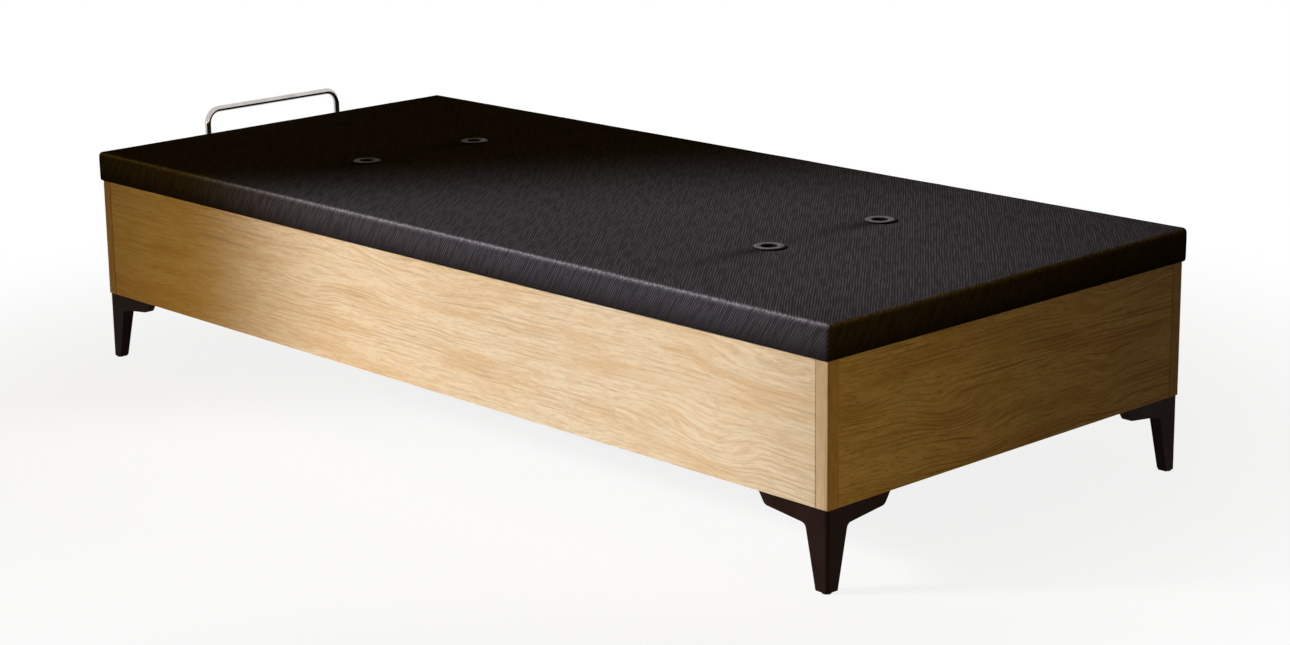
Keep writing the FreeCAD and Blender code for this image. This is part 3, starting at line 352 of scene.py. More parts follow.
def make_worn_edges():
    group, entry, leave = new_group(
        "Worn edges",
        [("Radius", "Float", 1.5 * MM), ("Patchiness", "Float", 14.0)],
        ["Edge"],
    )
    rounded = node(group, "Bevel", {"Radius": entry["Radius"]}, samples=4).outputs[0]
    straight = node(group, "NewGeometry", {}).outputs["Normal"]
    both = {0: rounded, 1: straight}
    same = node(group, "VectorMath", both, operation="DOT_PRODUCT").outputs["Value"]
    near = ramp(group, same, ON_A_FLAT, ON_A_CORNER)
    space = node(group, "TexCoord", {}).outputs["Object"]
    patches = cloud(group, space, entry["Patchiness"], 4.0)
    broken = ramp(group, patches, 0.32, 0.62, start=0.25)
    hand_out(group, leave, {"Edge": product(group, near, broken)})
    return group


def make_handling_marks():
    group, entry, leave = new_group(
        "Handling marks",
        [("Vector", "Vector", None), ("Size", "Float", 9.0)],
        ["Smears", "Grime"],
    )
    longer = stretched(group, entry["Vector"], SMEARS_LONGER)
    smears = cloud(group, longer, entry["Size"], detail=5.0, distortion=0.6)
    fine = product(group, entry["Size"], GRIME_FINER)
    grime = cloud(group, entry["Vector"], fine, detail=4.0)
    results = {"Smears": ramp(group, smears, 0.35, 0.7), "Grime": ramp(group, grime, 0.45, 0.75)}
    hand_out(group, leave, results)
    return group


WORN_EDGES = make_worn_edges()
HANDLING_MARKS = make_handling_marks()
print("groups:", WORN_EDGES.name, "and", HANDLING_MARKS.name)

# %% [markdown]
# ## Wooden finishes
# The box is board with a printed oak foil, the posts have the same foil cut upright, and inside
# there are planed pine, plywood, hardboard and beech. Each could have a network of its own, but
# one function mixes them all from the grain group: only the colours, the direction and the
# amount of figure differ. A foil is smooth to the touch, so its relief is a third of that of
# planed wood. The low specular level keeps dark wood dark under a white backdrop.

# %% Mixing a wood
ALONG_X = (0.0, 0.0, 0.0)
ALONG_Y = (0.0, 0.0, math.radians(-90))
ALONG_Z = (0.0, math.radians(90), 0.0)
GRAIN_SHIFT = (0.31, 0.17, 0.23)
FAINT_SPECULAR = 0.03
FIBRE_SHADE = 0.42
FIBRE_SMOOTHER, FIBRE_ROUGHER = 0.06, 0.1
EDGE_WEAR_AND_HIGHLIGHT = 0.35


def wood(
    name, light, dark, streak, turn, rings=120.0, waviness=1.0, streaks=0.6,
    relief=0.1 * MM, roughness=0.45, banding=0.56,
):
    """A wooden finish: bands between light and dark, and short thin lines of a third colour."""
    material, tree, inputs = new_material(name, Specular_IOR_Level=FAINT_SPECULAR)
    settings = {
        "Vector": place_in_space(tree, turn, GRAIN_SHIFT),
        "Rings per metre": rings,
        "Waviness": waviness,
        "Streaks amount": streaks,
    }
    grain = place_group(tree, WOOD_GRAIN, settings)
    banded = blended(tree, ramp(tree, grain["Bands"], 0.42, 0.7, end=banding), light, dark)
    shade = ramp(tree, grain["Fibres"], 0.42, 0.64, end=FIBRE_SHADE)
    streaked = blended(tree, grain["Streaks"], blended(tree, shade, banded, dark), streak)
    # Paler edges: partly wear, partly a painted highlight where an edge catches the light.
    edge = place_group(tree, WORN_EDGES, {"Radius": 1.2 * MM})["Edge"]
    wear_and_highlight = blended(tree, product(tree, edge, EDGE_WEAR_AND_HIGHLIGHT), streaked, light)
    tree.links.new(wear_and_highlight, inputs["Base Color"])
    smoothest, roughest = roughness - FIBRE_SMOOTHER, roughness + FIBRE_ROUGHER
    gloss = ramp(tree, grain["Fibres"], 0.3, 0.7, smoothest, roughest)
    tree.links.new(gloss, inputs["Roughness"])
    bump(tree, inputs, grain["Height"], relief)
    return material


print("grain turns:", ALONG_X, ALONG_Y, ALONG_Z)

# %% Oak foil
OAK_LIGHT = (0.8, 0.665, 0.485, 1)
OAK_DARK = (0.66, 0.42, 0.2, 1)
OAK_ENDS_PAINTED_SHADE = (0.54, 0.375, 0.17, 1)
OAK_STREAK = (0.34, 0.18, 0.07, 1)
POST_LIGHT, POST_DARK = (0.67, 0.5, 0.32, 1), (0.52, 0.355, 0.185, 1)
JOINT_LIGHT, JOINT_DARK = (0.3, 0.17, 0.08, 1), (0.22, 0.12, 0.05, 1)
oak_sides = wood(
    "oak foil lengthwise", OAK_LIGHT, OAK_DARK, OAK_STREAK, ALONG_X, streaks=0.47, banding=0.52
)
# The ends mix the same foil towards a darker, browner colour: painted shade, as the ends stand in
# shade.
oak_ends = wood(
    "oak foil crosswise", OAK_LIGHT, OAK_ENDS_PAINTED_SHADE, OAK_STREAK, ALONG_Y, streaks=0.95, banding=0.75
)
oak_upright = wood(
    "oak foil upright", POST_LIGHT, POST_DARK, OAK_STREAK, ALONG_Z,
    rings=150.0, waviness=0.3, streaks=0.4,
)
oak_edge = wood("oak foil edge", JOINT_LIGHT, JOINT_DARK, OAK_STREAK, ALONG_Z)
print("oak:", oak_sides.name, "/", oak_ends.name, "/", oak_upright.name, "/", oak_edge.name)

# %% Woods inside the bed
PINE = {
    "light": (0.74, 0.55, 0.33, 1), "dark": (0.55, 0.33, 0.15, 1), "streak": (0.3, 0.15, 0.06, 1),
    "waviness": 0.5, "streaks": 0.35, "relief": 0.3 * MM, "roughness": 0.6,
}
pine_long = wood("pine lengthwise", turn=ALONG_X, **PINE)
pine_cross = wood("pine crosswise", turn=ALONG_Y, **PINE)
plywood = wood(
    "plywood", (0.7, 0.54, 0.35, 1), (0.56, 0.39, 0.22, 1), (0.4, 0.24, 0.12, 1), ALONG_X,
    rings=40.0, waviness=1.6, streaks=0.4, relief=0.25 * MM, roughness=0.62,
)
hardboard = wood(
    "hardboard", (0.36, 0.235, 0.135, 1), (0.29, 0.18, 0.1, 1), (0.19, 0.11, 0.06, 1), ALONG_Y,
    rings=200.0, waviness=0.3, streaks=0.5, relief=0.15 * MM, roughness=0.55,
)
beech = wood(
    "beech", (0.68, 0.48, 0.3, 1), (0.56, 0.36, 0.2, 1), (0.33, 0.18, 0.09, 1), ALONG_X,
    rings=300.0, waviness=0.2, relief=0.2 * MM, roughness=0.55,
)
print("inside:", pine_long.name, "/", plywood.name, "/", hardboard.name, "/", beech.name)

# %% [markdown]
# ## Ribbed fabric
# The cover is a firm black knit with slanting ribs, about four and a half millimetres apart. A
# rib is a bundle of twisted yarn, so it swells and thins, and it crosses tiny cross threads. The
# ribs could be modelled, but they are too fine and too many, so a wave draws them. The group
# works on the piece's own UV map, in metres, because cloth is cut and sewn: its pattern follows
# the surface and turns at the seam, which no pattern in space could do.

# %% Ribbed fabric group
# Repeats per metre across the ribs and along them.
WANDER = (46, 10, 1)
SLUBS = (170, 17, 1)
THREADS_PER_RIB = 2.6
THREAD_SLANT = 0.5
RIB_HEIGHT = 0.5
SLUB_HEIGHT = 0.55
THREAD_HEIGHT = 0.22


def make_ribbed_fabric():
    group, entry, leave = new_group(
        "Ribbed fabric",
        [
            ("Vector", "Vector", None),
            ("Rib spacing", "Float", 4.4 * MM),
            ("Unevenness", "Float", 1.4),
        ],
        ["Rib", "Thread", "Slub", "Height"],
    )
    cloth = entry["Vector"]
    per_metre = maths(group, "DIVIDE", 1.0, entry["Rib spacing"])
    wander = maths(group, "SUBTRACT", squeezed_cloud(group, cloth, WANDER, detail=3.0), 0.5)
    drift = product(group, wander, entry["Unevenness"])
    axes = node(group, "SeparateXYZ", {0: cloth}).outputs
    turns = total(group, product(group, axes[0], per_metre), drift)
    rib = ramp(group, maths(group, "SINE", product(group, turns, math.tau)), -0.9, 0.9)
    along = product(group, per_metre, THREADS_PER_RIB, axes[1])
    twist = total(group, along, product(group, turns, THREAD_SLANT))
    thread = ramp(group, maths(group, "SINE", product(group, twist, math.tau)), -0.8, 0.8)
    slub = ramp(group, squeezed_cloud(group, cloth, SLUBS, detail=3.0), 0.36, 0.62)
    swollen = maths(group, "MULTIPLY_ADD", slub, SLUB_HEIGHT, RIB_HEIGHT)
    relief = total(group, product(group, rib, swollen), product(group, thread, THREAD_HEIGHT))
    hand_out(group, leave, {"Rib": rib, "Thread": thread, "Slub": slub, "Height": relief})
    return group


RIBBED_FABRIC = make_ribbed_fabric()
print("ribbed fabric:", len(RIBBED_FABRIC.nodes), "nodes")

# %% [markdown]
# The cover's colour lies between the deep grooves and the face of the yarn. Two attributes of
# the mesh paint light and shade into it. Along the upper edge a grey line is a painted highlight,
# where the rounded edge catches the light. In the creases from the vents, and where the sides
# are drawn in to the hem, the colour is darker: painted shade.

# %% Cover material
FABRIC_DEEP = (0.027, 0.0235, 0.028, 1)
FABRIC_FACE = (0.083, 0.0745, 0.088, 1)
# Colours of the painted shade and of the painted highlight.
FABRIC_PAINTED_SHADE = (0.012, 0.0105, 0.011, 1)
FABRIC_PAINTED_HIGHLIGHT = (0.34, 0.325, 0.365, 1)
HIGHLIGHT_BREAKUP = (260, 60, 1)
THIN_YARN, THICK_YARN = 0.4, 1.2
MOST_HIGHLIGHT = 0.9


def ribbed_cover():
    """Black yarn, with a painted highlight along its upper edge, and painted shade in its creases
    and towards its hem.
    """
    material, tree, inputs = new_material(
        "ribbed black fabric", Sheen_Weight=0.02, Sheen_Roughness=0.4, Specular_IOR_Level=0.0
    )
    cloth = node(tree, "UVMap", {}, uv_map="cloth").outputs[0]
    fabric = place_group(tree, RIBBED_FABRIC, {"Vector": cloth})
    thickness = between(tree, fabric["Slub"], THIN_YARN, THICK_YARN)
    yarn = product(tree, fabric["Rib"], thickness)
    raised = blended(tree, yarn, FABRIC_DEEP, FABRIC_FACE)
    # Painted shade: darker in the creases and towards the hem.
    painted_shade = node(tree, "Attribute", {}, attribute_name="painted_shade").outputs["Fac"]
    face = blended(tree, painted_shade, raised, FABRIC_PAINTED_SHADE)
    # Painted highlight: a grey line along the upper edge, broken up by a cloud.
    edge = node(tree, "Attribute", {}, attribute_name="edge").outputs["Fac"]
    highlight_breakup = ramp(tree, squeezed_cloud(tree, cloth, HIGHLIGHT_BREAKUP, detail=3.0), 0.35, 0.65, start=0.2)
    wear_and_highlight = blended(tree, product(tree, edge, highlight_breakup, MOST_HIGHLIGHT), face, FABRIC_PAINTED_HIGHLIGHT)
    tree.links.new(wear_and_highlight, inputs["Base Color"])
    tree.links.new(between(tree, fabric["Thread"], 0.62, 0.85), inputs["Roughness"])
    bump(tree, inputs, fabric["Height"], 0.28 * MM)
    return material


cover_fabric = ribbed_cover()
print("cover:", cover_fabric.name)

# %% [markdown]
# ## Metals, plastics and foam
# Four of these finishes share the smear group: chrome, zinc, enamel and moulded plastic. Chrome
# is a mirror with faint smears. Zinc plating is duller and cloudy, with a slight blue and yellow
# play. Black enamel wears to a grey line on its corners. Each could be one plain shader, but a
# real surface never has one even gloss.

# %% Chrome
def dulled(tree, inputs, space, size, smoothest, roughest):
    """Lays smears of a size over a gloss, and gives the marks back for the colour and relief."""
    marks = place_group(tree, HANDLING_MARKS, {"Vector": space, "Size": size})
    tree.links.new(between(tree, marks["Smears"], smoothest, roughest), inputs["Roughness"])
    return marks


def chrome_finish():
    material, tree, inputs = new_material("polished chrome", Metallic=1.0)
    space = place_in_space(tree)
    marks = dulled(tree, inputs, space, size=12.0, smoothest=0.07, roughest=0.16)
    tint = blended(tree, marks["Smears"], (0.6, 0.57, 0.55, 1), (0.48, 0.45, 0.435, 1))
    tree.links.new(tint, inputs["Base Color"])
    bump(tree, inputs, marks["Grime"], 0.004 * MM)
    return material


chrome = chrome_finish()
print("finish:", chrome.name)

# %% Zinc
STEEL_WEAR = {"Radius": 0.8 * MM, "Patchiness": 60.0}


def zinc_finish():
    material, tree, inputs = new_material("zinc plated steel", Metallic=1.0)
    space = place_in_space(tree)
    marks = dulled(tree, inputs, space, size=26.0, smoothest=0.3, roughest=0.48)
    play = ramp(tree, cloud(tree, space, 34.0, detail=3.0, distortion=0.8), 0.35, 0.65)
    plated = blended(tree, play, (0.5, 0.53, 0.57, 1), (0.6, 0.58, 0.5, 1))
    edge = place_group(tree, WORN_EDGES, STEEL_WEAR)["Edge"]
    tree.links.new(blended(tree, edge, plated, (0.72, 0.72, 0.72, 1)), inputs["Base Color"])
    bump(tree, inputs, marks["Grime"], 0.02 * MM)
    return material


zinc = zinc_finish()
print("finish:", zinc.name)

# %% Enamel
def enamel_finish():
    material, tree, inputs = new_material("black enamel", Coat_Weight=0.3, Coat_Roughness=0.2)
    space = place_in_space(tree)
    marks = dulled(tree, inputs, space, size=20.0, smoothest=0.28, roughest=0.42)
    dull = blended(tree, marks["Grime"], (0.012, 0.012, 0.013, 1), (0.022, 0.022, 0.023, 1))
    edge = place_group(tree, WORN_EDGES, STEEL_WEAR)["Edge"]
    tree.links.new(blended(tree, edge, dull, (0.1, 0.1, 0.105, 1)), inputs["Base Color"])
    bump(tree, inputs, marks["Grime"], 0.02 * MM)
    return material


enamel = enamel_finish()
print("finish:", enamel.name)

# %% [markdown]
# The legs, vents and glides are moulded plastic: a satin skin with a fine leathery texture, for
# which the cells of a Voronoi pattern stand, paler where it is scuffed. The same cells, larger
# and deeper, are the pores of open foam, which is chalky and yellows with age.

# %% Moulded plastic
SKIN_CELLS = 900.0
SMEAR_SHARE = 0.35
SMEAR_ROUGHER = 0.14
SCUFF_SHARE = 0.5


def moulded(name, skin, scuffed, roughness):
    """Moulded plastic with a fine leathery skin that goes paler where it is scuffed."""
    material, tree, inputs = new_material(name, Specular_IOR_Level=FAINT_SPECULAR)
    space = place_in_space(tree)
    marks = dulled(tree, inputs, space, 11.0, roughness, roughness + SMEAR_ROUGHER)
    toned = blended(tree, product(tree, marks["Smears"], SMEAR_SHARE), skin, scuffed)
    edge = place_group(tree, WORN_EDGES, {"Radius": 2.0 * MM, "Patchiness": 30.0})["Edge"]
    wear_and_highlight = blended(tree, product(tree, edge, SCUFF_SHARE), toned, scuffed)
    tree.links.new(wear_and_highlight, inputs["Base Color"])
    cells = node(tree, "TexVoronoi", {"Vector": space, "Scale": SKIN_CELLS}).outputs["Distance"]
    bump(tree, inputs, cells, 0.05 * MM)
    return material


leg_plastic = moulded(
    "dark brown plastic", (0.015, 0.0065, 0.005, 1), (0.04, 0.021, 0.017, 1), 0.45
)
# Nearly black plastic: painted shade in the deep vent tubes and under the vents' lips.
shade_plastic = moulded("sooty plastic", (0.003, 0.003, 0.003, 1), (0.01, 0.01, 0.01, 1), 0.6)
vent_plastic = moulded(
    "dark grey plastic", (0.125, 0.116, 0.121, 1), (0.17, 0.158, 0.164, 1), 0.55
)
glide_plastic = moulded("black plastic", (0.02, 0.02, 0.02, 1), (0.06, 0.06, 0.06, 1), 0.5)
print("plastics:", [m.name for m in (leg_plastic, shade_plastic, vent_plastic, glide_plastic)])

# %% Open foam
FOAM_CELLS = 420.0


def foam_finish():
    material, tree, inputs = new_material("open foam", Roughness=0.95)
    space = place_in_space(tree)
    cells = node(tree, "TexVoronoi", {"Vector": space, "Scale": FOAM_CELLS}).outputs["Distance"]
    age = ramp(tree, cloud(tree, space, 9.0, detail=4.0), 0.35, 0.7)
    aged = blended(tree, age, (0.74, 0.71, 0.6, 1), (0.66, 0.6, 0.45, 1))
    open_pores = blended(tree, ramp(tree, cells, 0.0, 0.4), (0.42, 0.38, 0.28, 1), aged)
    tree.links.new(open_pores, inputs["Base Color"])
    bump(tree, inputs, cells, 0.6 * MM)
    return material


foam = foam_finish()
print("materials:", len(bpy.data.materials))

# %% [markdown]
# ## Softened copies of the rigid pieces
# A CAD solid has knife-sharp edges. Real boards and mouldings have edges that catch the light. A
# Bevel modifier could round them, but it would also round the short edges of every screw hole. So
# a copy is welded first, because the CAD meshes are loose triangles, its flat faces are joined
# back together, and then only the long sharp edges are bevelled. Large flat faces keep flat
# shading and the narrow rounded ones are smoothed, which keeps false shading off the boards.

# %% Finishing a mesh
SMOOTH_UP_TO = math.radians(40)


def finished(name, mesh, body, slot, materials):
    """Turns a bmesh into an object that rides on a CAD body."""
    data = bpy.data.meshes.new(name)
    mesh.to_mesh(data)
    mesh.free()
    piece = bpy.data.objects.new(name, data)
    bpy.context.scene.collection.objects.link(piece)
    for material in materials:
        data.materials.append(material)
    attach(piece, body)
    return piece


def is_narrow(face, width):
    """True for a small face, and for a four-cornered strip under a quarter of the width."""
    if face.calc_area() < width * width:
        return True
    return len(face.verts) == 4 and min(edge.calc_length() for edge in face.edges) < width / 4


def keep_sharp(mesh, angle):
    """Smooths the shading across an edge, unless its faces meet at more than the angle."""
    for edge in mesh.edges:
        edge.smooth = not (edge.is_manifold and edge.calc_face_angle(0.0) > angle)


def bevel(mesh, edges, radius, segments, clamp=False):
    """Rounds edges to a radius. Clamped, the rounding stops before it meets another."""
    bmesh.ops.bevel(
        mesh, geom=edges, offset=radius, offset_type="OFFSET", affect="EDGES",
        segments=segments, profile=0.5, material=-1, clamp_overlap=clamp,
    )


print("edges stay sharp over", round(math.degrees(SMOOTH_UP_TO)), "degrees")

# %% Softening a copy
WELD = 0.002 * MM
FLAT_WITHIN = math.radians(0.8)
SHARP_OVER = math.radians(35)


def welded_copy(node_name):
    """A bmesh of a CAD node, welded, with its coplanar triangles joined."""
    mesh = bmesh.new()
    mesh.from_mesh(nodes[node_name].data)
    bmesh.ops.remove_doubles(mesh, verts=mesh.verts, dist=WELD)
    bmesh.ops.dissolve_limit(
        mesh, angle_limit=FLAT_WITHIN, verts=mesh.verts, edges=mesh.edges, delimit=set()
    )
    bmesh.ops.recalc_face_normals(mesh, faces=mesh.faces)
    return mesh


def is_sharp(edge, longest_kept):
    """True for a sharp edge that is too long to be left as it is."""
    if not edge.is_manifold or edge.calc_length() <= longest_kept:
        return False
    return edge.calc_face_angle(0.0) > SHARP_OVER


def softened(node_name, radius, materials, segments=2, longest_kept=12 * MM, narrow=30 * MM):
    """A copy of a CAD node that stands for it. A radius of 0 rounds none of its edges."""
    mesh = welded_copy(node_name)
    sharp = [edge for edge in mesh.edges if radius and is_sharp(edge, longest_kept)]
    if sharp:
        bevel(mesh, sharp, radius, segments, clamp=True)
    for face in mesh.faces:
        face.smooth = is_narrow(face, narrow)
    keep_sharp(mesh, SMOOTH_UP_TO)
    piece = finished(
        node_name + ".finished", mesh, body_of_node[node_name], slot_of_node[node_name], materials
    )
    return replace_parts(piece, node_name)


print("edges are rounded over", round(math.degrees(SHARP_OVER)), "degrees")

# %% [markdown]
# ## Panels
# The four walls of the box are boards with a foil that is folded round their edges, so the edges
# are softly broken. The grain of the long walls runs along the bed, and that of the ends across.

# %% Panels
for name in ("side_panel_left", "side_panel_right"):
    softened(name, 0.5 * MM, [oak_sides])
for name in ("head_panel", "foot_panel"):
    softened(name, 0.5 * MM, [oak_ends])
print("panels:", sum(slot == "oak_laminate" for slot in slot_of_node.values()))

# %% [markdown]
# ## Corner posts
# A post is a narrow square bar with the foil's grain upright. Where a panel meets it, the foil is
# cut on a small slant, and the raw board shows as a thin dark line. The line could be a bump or
# a painted stripe, but the slant is there in the mesh, so its faces get a darker material. The
# post's edges aren't rounded, because that would eat into these narrow faces.

# %% Posts
CORNERS = ("foot_right", "head_right", "head_left", "foot_left")
POST_MATERIALS = [oak_upright, oak_edge]
LEAST_SLANT = 0.4
LEAST_JOINT_AREA = 100 * MM * MM


def is_joint_line(polygon):
    """True for the tall slanting faces beside the panels."""
    slant = abs(polygon.normal.x * polygon.normal.y)
    return slant > LEAST_SLANT and polygon.area > LEAST_JOINT_AREA


for corner in CORNERS:
    post = softened("corner_post_" + corner, 0, POST_MATERIALS)
    lines = [polygon for polygon in post.data.polygons if is_joint_line(polygon)]
    for polygon in lines:
        polygon.material_index = POST_MATERIALS.index(oak_edge)
    print(post.name, "joint lines:", len(lines), [round(p.area / MM / MM) for p in lines])

# %% [markdown]
# ## Boards, rails and slats inside
# Rails, ledgers and slats are planed pine with their edges broken by a plane, so they get
# softened copies. The thin boards and the dowels show no edge that matters: there the CAD mesh
# stays, and only gets a better material.

# %% Pine bars
PLANED_EDGE = 1.5 * MM
PINE_BARS = {
    pine_long: ("lid_rail_left", "lid_rail_right", "floor_ledger_left", "floor_ledger_right"),
    pine_cross: ("lid_rail_head", "lid_rail_foot"),
}
for pine, bars in PINE_BARS.items():
    for name in bars:
        softened(name, PLANED_EDGE, [pine])
for name in (n for n in nodes if n.startswith(("floor_slat", "lid_cross_bar"))):
    softened(name, PLANED_EDGE, [pine_cross])
print("pine bars:", sum(slot == "pine" for slot in slot_of_node.values()))

# %% Boards and dowels
def dress(node_name, material):
    """Gives a CAD node that keeps its shape a better finish."""
    piece = nodes[node_name]
    if not piece.material_slots:
        piece.data.materials.append(material)
    for slot in piece.material_slots:
        slot.material = material


for name in ("floor_board_head", "floor_board_foot"):
    dress(name, hardboard)
dress("lid_board", plywood)
dress("corner_dowels", beech)
print("hidden CAD nodes so far:", sum(piece.hide_render for piece in nodes.values()))

# %% [markdown]
# ## Legs and glides
# Each leg is one moulding: two wings that screw up under the panels and a foot that tapers
# downwards. A mould leaves generous round corners, so the edges get three segments. A subdivision
# surface would round them too, but it would also draw the thin wings in.

# %% Legs
for corner in CORNERS:
    softened("leg_" + corner, 0.7 * MM, [leg_plastic], segments=3, longest_kept=8 * MM)
dress("foot_glides", glide_plastic)
print("legs:", len(CORNERS))

# %% [markdown]
# ## Lift mechanism
# Flat steel arms, plates and brackets are punched from sheet, so their edges are only broken.
# The gas spring is a black tube with a polished rod. Bolts, pins and screws could be softened
# too, but nobody would see it at their size, so they keep their CAD mesh and get a zinc finish.

# %% Mechanism
STEEL = ("base_plate", "lift_arm", "control_arm", "lid_bracket")
for name in (n for n in nodes if n.startswith(STEEL) and not n.endswith("screws")):
    softened(name, 0.4 * MM, [zinc], longest_kept=6 * MM, narrow=12 * MM)
for name in (n for n in nodes if n.startswith("gas_cylinder")):
    softened(name, 0.4 * MM, [enamel], narrow=12 * MM)
for name in (n for n in nodes if n.startswith("gas_rod")):
    softened(name, 0.3 * MM, [chrome], narrow=12 * MM)
for name, slot in slot_of_node.items():
    if slot == "zinc_steel" and not nodes[name].hide_render:
        dress(name, zinc)
print("steel nodes:", sum(slot == "zinc_steel" for slot in slot_of_node.values()))

# %% [markdown]
# ## Mattress bar
# One round bar, bent twice. It keeps a mattress from sliding off and is the handle of the lid. A
# bevelled curve would make it too, but the CAD tube already has its true bends, so the copy is
# only welded and smoothed.

# %% Mattress bar
bar = softened("mattress_bar", 0, [chrome], narrow=40 * MM)
print("bar:", len(bar.data.polygons), "faces")

# %% [markdown]
# ## Air vents
# A vent is a turned shape, so its outline is drawn once and spun round its own axis: a flat ring
# with a soft outer lip, a short dish towards the hole, and the tube that passes through the foam
# and the board. A Screw modifier could turn it too, but spinning a full turn with use_merge
# closes the seam at once. Below the dish the tube, and the lower part of the ring's outer lip,
# are of a nearly black plastic: painted shade in the deep hole and under the lip.

# %% Vent sizes
VENTS = [f"air_vent_{n}" for n in range(1, 5)]
vent_boxes = {name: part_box(name) for name in VENTS}
vent_middles = [(low + high) / 2 for low, high in vent_boxes.values()]
cover_low, cover_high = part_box("fabric_cover")
vent_low, vent_high = vent_boxes["air_vent_1"]
# The CAD ring is a circle of short straight runs, so its radius is rounded to half a millimetre.
RING_RADIUS = round((vent_high.x - vent_low.x) / 2 / MM * 2) / 2 * MM
TUBE_RADIUS = 16 * MM
HOLE_RADIUS = 14 * MM
RING_TOP = vent_high.z
TUBE_BOTTOM = vent_low.z
DISH_BOTTOM = RING_TOP - 0.9 * MM
SEAT = cover_high.z
print("vents at", [(round(m.x, 3), round(m.y, 3)) for m in vent_middles])

# %% Vent outline
def vent_outline():
    """Radius and height of the outline's corners, from the tube's foot round the ring."""
    return [
        (HOLE_RADIUS, TUBE_BOTTOM),
        (HOLE_RADIUS, RING_TOP - 1.6 * MM),
        (HOLE_RADIUS + 0.5 * MM, DISH_BOTTOM),
        (HOLE_RADIUS + 1.4 * MM, RING_TOP - 0.5 * MM),
        (RING_RADIUS - 5.0 * MM, RING_TOP),
        (RING_RADIUS - 3.0 * MM, RING_TOP - 0.2 * MM),
        (RING_RADIUS - 1.4 * MM, RING_TOP - 0.8 * MM),
        (RING_RADIUS - 0.4 * MM, RING_TOP - 1.6 * MM),
        (RING_RADIUS, RING_TOP - 2.4 * MM),
        (RING_RADIUS, SEAT),
        (TUBE_RADIUS, SEAT),
        (TUBE_RADIUS, TUBE_BOTTOM),
    ]


print("outline:", len(vent_outline()), "corners")

# %% Turning the vents
VENT_MATERIALS = [vent_plastic, shade_plastic]
VENT_STEPS = 56
VENT_SMOOTH_UP_TO = math.radians(50)


def make_vent(name, middle):
    mesh = bmesh.new()
    corners = [
        mesh.verts.new((middle.x + radius, middle.y, height)) for radius, height in vent_outline()
    ]
    outline = [mesh.edges.new(pair) for pair in zip(corners, corners[1:] + corners[:1])]
    bmesh.ops.spin(
        mesh, geom=corners + outline, cent=(middle.x, middle.y, 0), axis=(0, 0, 1),
        angle=math.tau, steps=VENT_STEPS, use_merge=True,
    )
    bmesh.ops.remove_doubles(mesh, verts=mesh.verts, dist=WELD)
    bmesh.ops.recalc_face_normals(mesh, faces=mesh.faces)
    for face in mesh.faces:
        # Faces below the dish, down the tube and under the ring's lip, get the painted shade.
        shade_painted = face.calc_center_median().z < DISH_BOTTOM
        face.smooth = True
        face.material_index = VENT_MATERIALS.index(shade_plastic if shade_painted else vent_plastic)
    keep_sharp(mesh, VENT_SMOOTH_UP_TO)
    piece = finished(name + ".finished", mesh, "lid", "vent_plastic", VENT_MATERIALS)
    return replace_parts(piece, name)


for name, middle in zip(VENTS, vent_middles):
    vent = make_vent(name, middle)
print("vents:", len(VENTS), "with", len(vent.data.polygons), "faces each")

# %% [markdown]
# ## Upholstered cover
# The cover is a shell of cloth: a top, a boxing strip round the sides and a hem that turns in
# under the rails. It could be sculpted, but a sewn cover is plain geometry that tension shapes.
# So it starts as a box with rounded corners. Its underside is taken out, the open edge is drawn
# in to make the hem, and the fold of the hem is rounded too.

# %% Box with round corners
CORNER_RADIUS = 8 * MM
EDGE_RADIUS = 8 * MM
CORNER_SEGMENTS, EDGE_SEGMENTS = 5, 4
cover_middle = (cover_low + cover_high) / 2
cover_size = cover_high - cover_low


def box_with_round_corners():
    """The lid's outline, with its upright corners and its upper rim rounded."""
    shell = bmesh.new()
    bmesh.ops.create_cube(shell, size=1.0)
    bmesh.ops.scale(shell, vec=cover_size, verts=shell.verts)
    bmesh.ops.translate(shell, vec=cover_middle, verts=shell.verts)
    uprights = [e for e in shell.edges if abs(e.verts[0].co.z - e.verts[1].co.z) > MM]
    bevel(shell, uprights, CORNER_RADIUS, CORNER_SEGMENTS)
    rim = [e for e in shell.edges if min(v.co.z for v in e.verts) > cover_high.z - MM]
    bevel(shell, rim, EDGE_RADIUS, EDGE_SEGMENTS)
    return shell


shell = box_with_round_corners()
print("box:", len(shell.faces), "faces,", tuple(round(side, 3) for side in cover_size), "m")

# %% Hem
HEM_WIDTH = 18 * MM
HEM_RADIUS = 4 * MM
HEM_SEGMENTS = 3
# A face is level where its normal points up or down by more than this.
LEVEL = 0.9
# Across a fold, the normals of the two faces differ by more than this in height.
FOLD = 0.5


def turn_in_hem(shell):
    """Opens the underside and draws the cloth in under the rails."""
    below = [f for f in shell.faces if f.normal.z < -LEVEL]
    bmesh.ops.delete(shell, geom=below, context="FACES_ONLY")
    open_edges = [e for e in shell.edges if e.is_boundary]
    hem = bmesh.ops.extrude_edge_only(shell, edges=open_edges)["geom"]
    hem_verts = [v for v in hem if isinstance(v, bmesh.types.BMVert)]
    narrower = Vector((1 - 2 * HEM_WIDTH / cover_size.x, 1 - 2 * HEM_WIDTH / cover_size.y, 1))
    centre = Matrix.Translation(-cover_middle)
    bmesh.ops.scale(shell, vec=narrower, space=centre, verts=hem_verts)
    lowest = cover_low.z + MM
    low = [e for e in shell.edges if e.is_manifold and max(v.co.z for v in e.verts) < lowest]
    folds = [e for e in low if abs(e.link_faces[0].normal.z - e.link_faces[1].normal.z) > FOLD]
    bevel(shell, folds, HEM_RADIUS, HEM_SEGMENTS)


turn_in_hem(shell)
print("open below, with a hem:", len(shell.faces), "faces")

# %% [markdown]
# Cloth bends where its mesh has vertices, so the shell is cut into small cells. The cuts are
# counted out from the first vent, in whole cells between the vents, so each vent sits exactly on
# a crossing.

